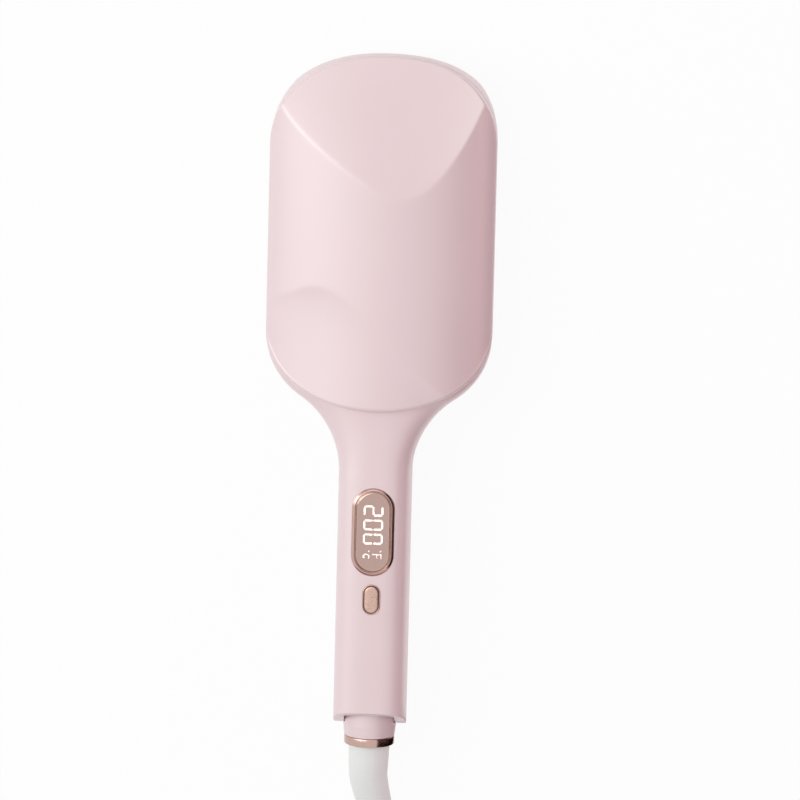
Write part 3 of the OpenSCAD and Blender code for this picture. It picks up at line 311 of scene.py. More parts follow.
@dataclass(frozen=True)
class ArmShape:
    """Sizes and formulas that both arms share, in millimetres, as the part's source has them."""

    half_width: float = 16.6
    handle_height: float = 17.5
    head_half: float = 51.3
    shoulder_y: float = 182.0
    shoulder_radius: float = 34.0
    neck_radius: float = 42.0
    fold_length: float = 32.0
    cap_y: float = 268.0
    cap_length: float = 42.0
    cap_power: float = 2.15
    cap_power_right: float = 2.42
    squareness: float = 3.4
    rim: float = 0.4
    dome: float = 24.0
    front_rim: float = 2.0
    back_rim: float = 8.7
    back_slope: float = 32.0
    low_drop: float = 1.6
    low_reach: float = 8.0

    @property
    def neck_y(self) -> float:
        """Where the straight handle ends and the neck's fillet starts.

        Returns:
            Distance from the handle's end.
        """
        total = self.shoulder_radius + self.neck_radius
        run = total - (self.head_half - self.half_width)
        return self.shoulder_y - math.sqrt(total**2 - run**2)

    @property
    def join_y(self) -> float:
        """Where the neck's fillet meets the shoulder's arc.

        Returns:
            Distance from the handle's end.
        """
        total = self.shoulder_radius + self.neck_radius
        run = total - (self.head_half - self.half_width)
        return self.neck_y + self.neck_radius * math.sqrt(1 - (run / total) ** 2)

    def half(self, y: Array) -> Array:
        """Half of the arm's width: straight, then a hollow fillet, then the shoulder's arc.

        Args:
            y: Distances from the handle's end.

        Returns:
            Half of the width at each.
        """
        fillet = self.half_width + self.neck_radius - np.sqrt(
            np.maximum(0, self.neck_radius**2 - np.maximum(0, y - self.neck_y) ** 2))
        arc = self.head_half - self.shoulder_radius + np.sqrt(
            np.maximum(0, self.shoulder_radius**2 - np.minimum(0, y - self.shoulder_y) ** 2))
        return np.where(y <= self.join_y, fillet, arc)

    def top(self, side: Side, y: Array) -> Array:
        """Height of a handle half's crown, a little lower towards the head.

        Args:
            side: The arm.
            y: Distances from the handle's end.

        Returns:
            Height of the crown over the parting plane.
        """
        if side is Side.FRONT:
            return self.handle_height - 0.5 * np.clip((y - self.neck_y) / 30, 0, 1)
        return PARTING_Z - 1.2 * np.clip((y - self.neck_y + 20) / 30, 0, 1)

    def power(self, y: Array) -> Array:
        """Squareness of the handle's section, softer towards the head."""
        run = (y - self.neck_y) / (self.shoulder_y - self.neck_y)
        return self.squareness - 1.3 * np.clip(run, 0, 1)

    def section(self, side: Side, turn: Array, y: Array, inset: Array | float,
                edge: float = 0.0) -> tuple[Array, Array]:
        """Point of a handle half's section.

        Formula: the ray at the angle turn meets |x / w|^p + |h / b|^p = 1, with w and b
        less the inset. The back half's crown is cut flat where it lies on the table. Within
        edge of the rim, x moves in along a quarter circle.

        Args:
            side: The arm.
            turn: Angle round the section, 0 and pi at the rims.
            y: Distance from the handle's end.
            inset: How far the skin lies inside the outer one.
            edge: Radius of the rounding at the rim.

        Returns:
            x and h of the points.
        """
        p = self.power(y)
        size = (np.abs(np.cos(turn)) ** p + np.abs(np.sin(turn)) ** p) ** (-1 / p)
        crown = self.top(side, y) - inset - self.rim
        rise = crown if side is Side.FRONT else crown + 0.6
        x = (self.half(y) - inset) * np.cos(turn) * size
        h = rise * np.sin(turn) * size
        if side is Side.BACK:
            h = smooth_min(h, crown, 0.35)
        if edge > 0:
            low = np.maximum(0, edge - h)
            x = x - np.sign(x) * (edge - np.sqrt(np.maximum(0, edge**2 - low**2)))
        return x, self.rim + h

    def crown_at(self, side: Side, x: Array, y: Array, inset: float = 0.0) -> Array:
        """Height of a handle half over the point x, y: its section solved for h.

        Args:
            side: The arm.
            x: Distances across.
            y: Distances from the handle's end.
            inset: How far the skin lies inside the outer one.

        Returns:
            The height at each point.
        """
        p = self.power(y)
        rise = self.top(side, y) - inset - self.rim
        across = np.clip(np.abs(x) / (self.half(y) - inset), 0, 1)
        return self.rim + rise * (1 - across**p) ** (1 / p)

    def fold_x(self, y: Array) -> Array:
        """Half width of the head cover's curved lower edge, a half ellipse, at y."""
        run = np.clip((y - self.shoulder_y) / self.fold_length, -1, 0)
        return self.head_half * np.sqrt(1 - run**2)

    def outline(self, inset: Array | float, count: int = 150) -> tuple[Array, Array]:
        """Closed outline of a head cover, seen from the front, and the middle of each ray.

        Formula: the tip is a superellipse x = w s(cos a)^(2/p), y = cap + l s(sin a)^(2/p),
        the lower edge half an ellipse, the sides straight between them. A point's ray
        starts on the head's middle line, level with it along the sides and drawn together
        to 16 and 14 past the two centres at the ends.

        Args:
            inset: How far the outline lies inside the outer one.
            count: Points on the tip, and on the lower edge.

        Returns:
            The outline's points and the rays' starts, as rows of x and y.
        """
        turn = np.linspace(0, np.pi, count)
        leaning = np.where(np.cos(turn) > 0, self.cap_power_right, self.cap_power)
        size = (np.abs(np.cos(turn)) ** leaning
                + np.abs(np.sin(turn)) ** leaning) ** (-1 / leaning)
        tip = np.stack([(self.head_half - inset) * np.cos(turn) * size,
                        self.cap_y + (self.cap_length - inset) * np.sin(turn) * size], -1)
        fold = np.stack([-(self.head_half - inset) * np.cos(turn),
                         self.shoulder_y - (self.fold_length - inset) * np.sin(turn)], -1)
        drop = np.linspace(self.cap_y, self.shoulder_y, 72)[1:-1]
        edge = np.full(len(drop), self.head_half) - inset
        points = np.concatenate([tip, np.stack([-edge, drop], -1), fold,
                                 np.stack([edge, drop[::-1]], -1)])
        start = np.concatenate([self.cap_y + 16 * np.sin(turn), drop,
                                self.shoulder_y - 14 * np.sin(turn), drop[::-1]])
        return points, np.stack([np.zeros(len(points)), start], -1)

    def front_height(self, x: Array, y: Array) -> Array:
        """Height of the front cover: a dome with two scoops taken off.

        Formula: the dome falls from its crown as (1 - a^2)^0.62, with a the share of the
        half width. The tip's scoop is one bent plane, a cubic in x and a quadratic in the
        distance u from the tip, crisp where it leaves the dome on the right and soft on the
        left. The lower scoop sinks below the dome by drop (1 - exp(-d / reach)), with d the
        distance inside its own crease, a quintic in x, and less in the middle.

        Args:
            x: Distance across the head.
            y: Distance from the handle's end.

        Returns:
            The height at each point.
        """
        across = np.clip(np.abs(x) / self.head_half, 0, 1)
        dome = self.front_rim + (self.dome - self.front_rim) * (1 - across**2) ** 0.62
        t, u = x / 50, (self.cap_y + self.cap_length - y) / 50
        scoop = (2.53 - 2.14 * t - 2.48 * t**2 + 4.53 * t**3
                 + u * (26.48 - 1.97 * t - 7.0 * u))
        scoop = np.where(u > 1.6, 60.0, scoop)
        width = 0.12 + 0.5 * np.clip(0.1 - t, 0, 1)
        low = 187.06 + t * (-55.95 + t * (-4.12 + t * (59.2 + t * (-22.91 - 41.55 * t))))
        lean = (-55.95 + t * (-8.24 + t * (177.6 + t * (-91.64 - 207.75 * t)))) / 50
        inside = (low - y) / np.sqrt(1 + lean**2)
        inside = 0.5 * (inside + np.sqrt(inside**2 + 0.3**2))
        fade = (1 - across**10) * (0.4 + 0.6 * np.clip(((t + 0.05) / 0.5) ** 2, 0, 1))
        sunk = self.low_drop * (1 - np.exp(-inside / self.low_reach)) * fade
        return smooth_min(dome - sunk, np.maximum(scoop, self.front_rim), width)

    def back_height(self, x: Array, y: Array) -> Array:
        """Height of the back cover: flat in the middle, round sides, and a sloping tip.

        Args:
            x: Distance across the head.
            y: Distance from the handle's end.

        Returns:
            The height at each point.
        """
        across = np.clip(np.abs(x) / self.head_half, 0, 1)
        side = self.back_rim + (PARTING_Z + 1 - self.back_rim) * (1 - across**3) ** 0.6
        tip = self.back_rim + (310 - y) * math.tan(math.radians(self.back_slope))
        return smooth_min(smooth_min(side, np.full_like(side, PARTING_Z), 0.6), tip, 1.2)


@dataclass
class HandleShell:
    """Outer half of the handle with the neck and shoulders up to the head cover's edge."""

    side: Side
    shape: ArmShape
    wall: float = 2.0
    slant: float = 8.0
    edge: float = 0.45
    relief: float = 23.0
    end_wall: float = 11.0
    hole: float = 12.45
    block_inset: float = 0.95
    hinge_y: float = 6.5
    openings: tuple[tuple[float, float, float], ...] = ()
    recess: float = 0.0

    def _angles(self) -> Array:
        """Angles round the section, closer together at the rims."""
        close = np.array([0, 0.004, 0.009, 0.016, 0.026, 0.04, 0.06, 0.09])
        return np.concatenate([close, np.linspace(0.12, np.pi - 0.12, 77), np.pi - close[::-1]])

    def _ends(self, turn: Array, inset: float) -> tuple[Array, Array]:
        """Where each column of the skin starts and ends along y.

        Formula: the front half starts on the slanted plane y = slant h / crown, and below
        the hinge on a line that falls to its axis at the relief's angle, the back one at 0.
        A column ends where its section meets the cover's edge, found by halving.

        Args:
            turn: Angles of the columns.
            inset: How far the skin lies inside the outer one.

        Returns:
            The first and the last y of each column.
        """
        start = np.zeros_like(turn)
        if self.side is Side.FRONT:
            h = self.shape.section(self.side, turn, start, inset)[1]
            relief = self.hinge_y - (h - self.shape.rim) / math.tan(math.radians(self.relief))
            start = np.maximum(self.slant * h / self.shape.handle_height, relief)
        low = np.full_like(turn, self.shape.shoulder_y - self.shape.fold_length - 1)
        high = np.full_like(turn, self.shape.shoulder_y)
        for _ in range(40):
            y = (low + high) / 2
            x = self.shape.section(self.side, turn, y, inset)[0]
            outside = np.abs(x) > self.shape.fold_x(y)
            low, high = np.where(outside, y, low), np.where(outside, high, y)
        return start, low - 0.05

    def _rows(self, start: Array, end: Array, outer: bool) -> Array:
        """y of every point: even steps in the middle, fitted to the ends outside it.

        Args:
            start: First y of each column.
            end: Last y of each column.
            outer: True for the outer skin.

        Returns:
            Rows by columns of y.
        """
        share = np.r_[0, 0.004, 0.012, 0.025, np.linspace(0.05, 1, 18)][:, None]
        tail = start + (24 - start) * share
        if not outer:
            wall = start + (self.end_wall - start) * np.linspace(0, 1, 9)[:, None]
            rest = np.repeat(np.linspace(self.end_wall, 24, 13)[:, None], len(start), axis=1)
            tail = np.concatenate([wall, rest])
        middle = np.repeat(np.arange(25.2, 125, 1.2)[:, None], len(start), axis=1)
        head = 126 + (end - 126) * np.linspace(0, 1, 48)[:, None] ** 0.9
        return np.concatenate([tail, middle, head])

    def _skin(self, inset: float, outer: bool) -> Array:
        """Points of one skin, as rows of x, y and h, rounded at the handle's end.

        Args:
            inset: How far the skin lies inside the outer one.
            outer: True for the outer skin.

        Returns:
            Rows by columns of x, y and h.
        """
        turn = self._angles()
        start, end = self._ends(turn, inset)
        y = self._rows(start, end, outer)
        away = np.clip(y - start, 0, self.edge)
        round_in = self.edge - np.sqrt(self.edge**2 - (self.edge - away) ** 2)
        depth = inset + (round_in if outer else -round_in)
        x, h = self.shape.section(self.side, turn[None], y, depth, 0.35 if outer else 0.0)
        if not outer:
            x[:9], h[:9] = self._end_hole(x[:9], y[:9], h[:9])
        return np.stack([x, y, h], -1)

    def _end_hole(self, x: Array, y: Array, h: Array) -> tuple[Array, Array]:
        """Bends the inner skin's first rows in to the hole that the neck comes out of.

        Formula: the back half's rows lie on the hole's circle. The front half's keep their
        height, and x stops at the inner faces of the blocks beside the hinge.

        Args:
            x: Distances across.
            y: Distances from the handle's end.
            h: Heights.

        Returns:
            The bent x and h.
        """
        if self.side is Side.BACK:
            away = np.arctan2(h, x)
            return self.hole * np.cos(away), self.hole * np.sin(away)
        reach = self.hole - self.block_inset
        return np.clip(x, -reach, reach), h

    def _faces(self, skin: Array) -> tuple[Faces, list[Array]]:
        """Quads of a skin outside its openings, and the corner loops round them.

        Args:
            skin: Points of the whole grid.

        Returns:
            The quads, and for each opening the point numbers of its loop.
        """
        rows, columns = skin.shape[:2]
        quads = grid_faces(rows, columns)
        keep = np.ones(len(quads), bool)
        loops = []
        for middle, width, length in self.openings:
            j = np.flatnonzero(np.abs(skin[60, :, 0]) < width / 2 + 2.6)
            i = np.flatnonzero(np.abs(skin[:, columns // 2, 1] - middle) < length / 2 + 2.8)
            i0, i1, j0, j1 = i[0], i[-1], j[0], j[-1]
            row, column = quads[:, 0] // columns, quads[:, 0] % columns
            keep &= ~((row >= i0) & (row < i1) & (column >= j0) & (column < j1))
            down, across = np.arange(i0, i1), np.arange(j0, j1)
            loops.append(np.concatenate([
                i0 * columns + across, down * columns + j1,
                i1 * columns + across[::-1] + 1, (down[::-1] + 1) * columns + j0]))
        return quads[keep], loops

    def _patch(self, skin: Array, loop: Array, opening: tuple[float, float, float],
               inset: float, first: int) -> tuple[Array, Faces]:
        """Rings from a loop of grid points in to an opening's stadium.

        Formula: each ring moves a point in x and y from the loop to the nearest point of
        the stadium, and its height is the handle's own there. The outer skin sinks by the
        recess between the second and the third ring.

        Args:
            skin: Points of the whole grid.
            loop: Point numbers of the loop, in order.
            opening: Middle, width and length of the opening.
            inset: How far the skin lies inside the outer one.
            first: Number that the first new point gets.

        Returns:
            The new points and the quads from the loop inwards.
        """
        middle, width, length = opening
        flat = skin.reshape(-1, 3)[loop]
        reach = (length - width) / 2
        core_y = middle + np.clip(flat[:, 1] - middle, -reach, reach)
        core = np.stack([np.zeros(len(flat)), core_y], -1)
        away = flat[:, :2] - core
        away /= np.linalg.norm(away, axis=1, keepdims=True)
        target = core + away * width / 2
        share = np.array([0.3, 0.42, 0.5, 0.58, 0.8, 1])[:, None, None]
        sunk = np.array([0, 0.06, 0.5, 0.94, 1, 1])[:, None] * (self.recess if inset == 0 else 0)
        place_xy = flat[None, :, :2] * (1 - share) + target[None] * share
        h = self.shape.crown_at(self.side, place_xy[..., 0], place_xy[..., 1], inset) - sunk
        points = np.concatenate([place_xy, h[..., None]], -1)
        size = len(loop)
        ids = np.concatenate([loop[None], first + np.arange(6 * size).reshape(6, size)])
        after = np.roll(ids, -1, axis=1)
        quads = np.stack([ids[:-1], after[:-1], after[1:], ids[1:]], -1).reshape(-1, 4)
        return points.reshape(-1, 3), quads

    def surface(self) -> Surface:
        """Both skins of the shell, joined at the rims and openings.

        Returns:
            The closed wall.
        """
        skins = [self._skin(0.0, True), self._skin(self.wall, False)]
        faces, loops = self._faces(skins[0])
        points = [skin.reshape(-1, 3) for skin in skins]
        for loop, opening in zip(loops, self.openings):
            first = len(points[0])
            extra = [self._patch(skin, loop, opening, inset, first)
                     for skin, inset in zip(skins, (0.0, self.wall))]
            points = [np.concatenate([p, e[0]]) for p, e in zip(points, extra)]
            faces = np.concatenate([faces, extra[0][1]])
        result = Surface()
        outer, inner = (arm_points(p[:, 0], p[:, 1], p[:, 2], self.side) for p in points)
        result.add_wall(outer, inner, faces)
        return result


@dataclass
class HeadCover:
    """Wide cover of a head: its crown, a rounded edge and the wall down to the rim."""

    side: Side
    shape: ArmShape
    wall: float = 2.2
    lip: float = 0.55
    rings: int = 72
    crowding: float = 1.45

    def _edge_radius(self, outline: Array) -> Array:
        """Radius of the rounded edge: small round the tip, wide along the lower fold.

        Args:
            outline: Points of the cover's outline, as x and y.

        Returns:
            The radius at each point.
        """
        low = np.clip((self.shape.shoulder_y + 2 - outline[:, 1]) / 12, 0, 1)
        tip = 0.9 if self.side is Side.FRONT else 2.6
        return tip + (2.4 - tip) * low * low * (3 - 2 * low)

    def _height(self, x: Array, y: Array) -> Array:
        """Height of this cover's crown."""
        front = self.side is Side.FRONT
        return self.shape.front_height(x, y) if front else self.shape.back_height(x, y)

    def _skin(self, inset: float) -> Array:
        """Points of one skin, rings by points round the outline.

        Formula: a point of the crown lies on its ray at 1 - (1 - t)^1.45 of the way to the
        edge. Then the edge turns down along a quarter circle, and the wall drops to the rim,
        or to just inside the handle shell where that covers it.

        Args:
            inset: How far the skin lies inside the outer one.

        Returns:
            Rows of x, y and h.
        """
        outline, middle = self.shape.outline(inset)
        ray = outline - middle
        length = np.linalg.norm(ray, axis=1)
        radius = np.minimum(self._edge_radius(outline), 3.5)
        radius = np.maximum(0.3, radius - inset * 0.8)
        share = 1 - (1 - np.linspace(0, 1, self.rings)) ** self.crowding
        reach = 1 - radius / length
        inner = middle[None] + ray[None] * (share[:, None] * reach[None])[..., None]
        crown = self._height(inner[..., 0], inner[..., 1]) - inset * 1.05
        turn = np.linspace(0, np.pi / 2, 8)[1:]
        out = 1 - (radius[None] * (1 - np.sin(turn)[:, None])) / length[None]
        bend = middle[None] + ray[None] * out[..., None]
        level = self._height(bend[..., 0], bend[..., 1]) - inset * 1.05
        edge_level = np.maximum(level, crown[-1] - (crown[-1] - level) * 0.35)
        bend_h = edge_level - radius[None] * (1 - np.cos(turn))[:, None]
        fold = outline[:, 1] < self.shape.shoulder_y
        hidden = self.shape.crown_at(self.side, outline[:, 0], outline[:, 1]) - 3
        bottom = np.where(fold, np.maximum(self.shape.rim, hidden), self.shape.rim)
        bottom = np.minimum(bottom, bend_h[-1] - 0.1)
        lip = np.where(inset > 0, 0.0, np.minimum(self.lip, 0.4 * (bend_h[-1] - bottom)))
        curl = np.radians([0, 30, 60, 90])[:, None]
        wall_h = bottom[None] + lip[None] * (1 - np.sin(curl))
        pull = 1 - lip[None] * (1 - np.cos(curl)) / length[None]
        wall_xy = middle[None] + ray[None] * pull[..., None]
        x = np.concatenate([inner[..., 0], bend[..., 0], wall_xy[..., 0]])
        y = np.concatenate([inner[..., 1], bend[..., 1], wall_xy[..., 1]])
        return np.stack([x, y, np.concatenate([crown, bend_h, wall_h])], -1)

    def surface(self) -> Surface:
        """Both skins of the cover, joined at the rim.

        Returns:
            The closed wall.
        """
        skins = [self._skin(inset) for inset in (0.0, self.wall)]
        rings, columns = skins[0].shape[:2]
        result = Surface()
        outer, inner = (arm_points(s[..., 0], s[..., 1], s[..., 2], self.side) for s in skins)
        result.add_wall(outer, inner, grid_faces(rings, columns, wrap=True), columns)
        return result


@dataclass
class Trim:
    """A stadium ring or cap whose section is carried round the stadium's outline."""

    middle: float
    width: float
    length: float
    section: tuple[tuple[float, float], ...]

    def surface(self, closed: bool) -> Surface:
        """Carries the section round the outline.

        Formula: a section point (inset, h) lies at the outline's point less inset times its
        normal, at height h. A ring's section closes on itself, a cap's ends on the middle.

        Args:
            closed: True for a ring, False for a cap.

        Returns:
            The surface.
        """
        line, normal = stadium(self.width, self.length)
        inset, h = (np.array(c)[:, None] for c in zip(*self.section))
        x = line[None, :, 0] - inset * normal[None, :, 0]
        y = line[None, :, 1] - inset * normal[None, :, 1] + self.middle
        grid = arm_points(x, y, np.broadcast_to(h, x.shape), Side.FRONT)
        result = Surface()
        if closed:
            result.add_grid(np.concatenate([grid, grid[:1]]), wrap=True)
            return result
        reach = (self.length - self.width) / 2
        core_y = np.clip(line[:, 1], -reach, reach) + self.middle
        ends = [arm_points(np.zeros_like(core_y), core_y, np.full_like(core_y, level), Side.FRONT)
                for level in (float(h[0, 0]), float(h[-1, 0]))]
        result.add_grid(np.concatenate([ends[0][None], grid, ends[1][None]]), wrap=True)
        return result


@dataclass
class Display:
    """The oval display: bezel, half mirrored lens and lit reading."""

    middle: float = 93.3
    width: float = 19.3
    length: float = 40.9
    rim: float = 1.9
    top: float = 17.6
    pitch: float = 6.57
    digit: tuple[float, float] = (5.1, 9.0)
    bar: float = 0.9
    glyph_h: float = 15.4
    glyph_depth: float = 0.2
    sign_drop: float = 21.3

    def bezel(self) -> bpy.types.Object:
        """Polished ring: a low step, a sloping lip, a fine groove and an inner lip.

        Returns:
            The piece, which rides on the front arm.
        """
        t, r = self.top, self.rim
        section = ((0.0, t - 3.9), (0.0, t - 0.75), (0.06, t - 0.66), (0.22, t - 0.62),
                   (0.34, t - 0.56), (0.5, t - 0.4), (0.75, t - 0.2), (1.0, t - 0.05),
                   (1.12, t), (1.22, t - 0.03), (1.28, t - 0.2), (1.33, t - 0.45),
                   (1.42, t - 0.5), (1.5, t - 0.42), (1.62, t - 0.3), (1.78, t - 0.27),
                   (r - 0.03, t - 0.36), (r, t - 0.5), (r, t - 2.0),
                   (r + 0.9, t - 2.0), (r + 0.9, t - 4.0))
        ring = Trim(self.middle, self.width, self.length, section)
        return place(ring.surface(True).build("display_bezel_ring", 50), Body.FRONT_ARM,
                     "rose_gold", "display_bezel")

    def lens(self) -> bpy.types.Object:
        """Lens with a softly crowned face inside the bezel.

        Returns:
            The piece, which rides on the front arm.
        """
        w, n, t = self.width - 2 * self.rim - 0.2, self.length - 2 * self.rim - 0.2, self.top - 0.1
        section = ((0.0, t - 1.9), (0.0, t - 0.45), (0.1, t - 0.34), (0.3, t - 0.27),
                   (0.8, t - 0.2), (2.0, t - 0.11), (3.6, t - 0.05), (w / 2 - 0.4, t - 0.02))
        cap = Trim(self.middle, w, n, section)
        return place(cap.surface(False).build("display_lens_cap", 50), Body.FRONT_ARM,
                     "tinted_lens", "display_lens")

    def _plate(self, result: Surface, x: Array, y: Array) -> None:
        """Adds a thin convex plate with the corners x, y just under the lens.

        Args:
            result: Surface that gets the plate.
            x: The corners' distances across.
            y: The corners' distances from the handle's end.
        """
        count = len(x)
        low, high = self.glyph_h, self.glyph_h + self.glyph_depth
        points = [arm_points(x, y, np.full(count, h), Side.FRONT) for h in (low, high)]
        ids = np.arange(count)
        after = np.roll(ids, -1)
        sides = np.stack([ids, after, after + count, ids + count], -1)
        result.add(np.concatenate(points), sides)
        first = result.count - 2 * count
        result.faces.append(np.stack([ids[::-1], ids + count]) + first)

    def _bars(self, result: Surface, y0: float, lit: Sequence[tuple[int, int, int]]) -> None:
        """Adds a digit's bars, pointed at both ends.

        Formula: a bar lies across at v = level b, or along v at u = side a between the
        middle and the level. The digit is read from the side, so x = v and y = y0 - u.

        Args:
            result: Surface that gets the bars.
            y0: Middle of the digit.
            lit: Bars as (across, side, level) in units of a and b.
        """
        t = self.bar / 2
        a, b = self.digit[0] / 2 - t, self.digit[1] / 2 - t
        for across, side, level in lit:
            reach = (a if across else b / 2) - 0.1
            along = np.array([-reach, t - reach, reach - t, reach, reach - t, t - reach])
            over = np.array([0, t, t, 0, -t, -t])
            u, v = (along, over + level * b) if across else (over + side * a, along + level * b / 2)
            self._plate(result, v, y0 - u)

    def _stroke(self, result: Surface, line: Array, width: float, closed: bool = False) -> None:
        """Adds a bar of the given width along a line.

        Formula: each point of the line carries four corners, half the width to both sides
        of it and at the bar's two heights. They make a tube, capped where it isn't closed.

        Args:
            result: Surface that gets the bar.
            line: Points as rows of x and y.
            width: Width of the bar.
            closed: True where the line's last point leads back to the first.
        """
        step = (np.roll(line, -1, axis=0) - np.roll(line, 1, axis=0) if closed
                else np.gradient(line, axis=0))
        step /= np.linalg.norm(step, axis=1, keepdims=True)
        side = np.stack([-step[:, 1], step[:, 0]], -1) * width / 2
        across = np.stack([line - side, line + side, line + side, line - side], axis=1)
        level = self.glyph_h + self.glyph_depth * np.array([0, 0, 1, 1])
        rings = arm_points(across[..., 0], across[..., 1], level, Side.FRONT)
        result.add_grid(np.concatenate([rings, rings[:1]]) if closed else rings, wrap=True)
        if not closed:
            result.add(rings[[0, -1]], np.arange(8).reshape(2, 4))

    def reading(self) -> bpy.types.Object:
        """Lit digits and the two unit signs, which are read with the tail to the right.

        Returns:
            The piece, which rides on the front arm.
        """
        result = Surface()
        first = self.middle + self.pitch * 1.45
        two = ((1, 0, 1), (0, 1, 1), (1, 0, 0), (0, -1, -1), (1, 0, -1))
        zero = ((1, 0, 1), (0, 1, 1), (0, 1, -1), (1, 0, -1), (0, -1, -1), (0, -1, 1))
        for k, lit in enumerate((two, zero, zero)):
            self._bars(result, first - k * self.pitch, lit)
        base = first - self.sign_drop
        turn = np.radians(np.linspace(-48, 228, 15))
        bow = np.stack([1.32 * np.cos(turn) - 2.87, base + 0.96 * np.sin(turn)], -1)
        self._stroke(result, bow, 0.5)
        for ends in (((-0.1, 0.95), (4.1, 0.95)), ((3.88, 0.74), (3.88, -1.1)),
                     ((1.9, 0.74), (1.9, -0.8))):
            self._stroke(result, np.array(ends) + [0, base], 0.42)
        turn = np.linspace(0, 2 * np.pi, 12, endpoint=False)
        for x in (-1.75, 3.55):
            dot = np.stack([x + 0.28 * np.cos(turn), base + 2.45 + 0.28 * np.sin(turn)], -1)
            self._stroke(result, dot, 0.2, closed=True)
        return place(result.build("display_reading", 50), Body.FRONT_ARM, "lit_digit",
                     "display_digits")


@dataclass
class PowerButton:
    """The button with its bezel."""

    middle: float = 61.8
    width: float = 8.15
    length: float = 14.2
    rim: float = 0.65
    top: float = 17.7

    def bezel(self) -> bpy.types.Object:
        """Thin bright ring round the button.

        Returns:
            The piece, which rides on the front arm.
        """
        t, r = self.top, self.rim
        section = ((0.0, t - 3.1), (0.0, t - 0.32), (0.06, t - 0.14), (0.2, t - 0.02),
                   (0.36, t), (0.5, t - 0.06), (0.6, t - 0.2), (r, t - 0.45), (r, t - 3.1))
        ring = Trim(self.middle, self.width, self.length, section)
        return place(ring.surface(True).build("button_bezel_ring", 50), Body.FRONT_ARM,
                     "rose_gold", "button_bezel")

    def cap(self) -> bpy.types.Object:
        """Button with a rounded edge and a flat speckled face, on its flange.

        Returns:
            The piece, which rides on the button.
        """
        w, n = self.width - 2 * self.rim - 0.4, self.length - 2 * self.rim - 0.4
        low, t = 13.6, self.top + 0.3
        section = ((-0.6, low), (-0.6, low + 0.8), (0.0, low + 0.8), (0.0, t - 0.6),
                   (0.08, t - 0.35), (0.25, t - 0.15), (0.55, t - 0.04), (1.1, t), (w / 2 - 0.2, t))
        cap = Trim(self.middle, w, n, section)
        return place(cap.surface(False).build("power_button_cap", 50), Body.BUTTON,
                     "rose_gold", "power_button")


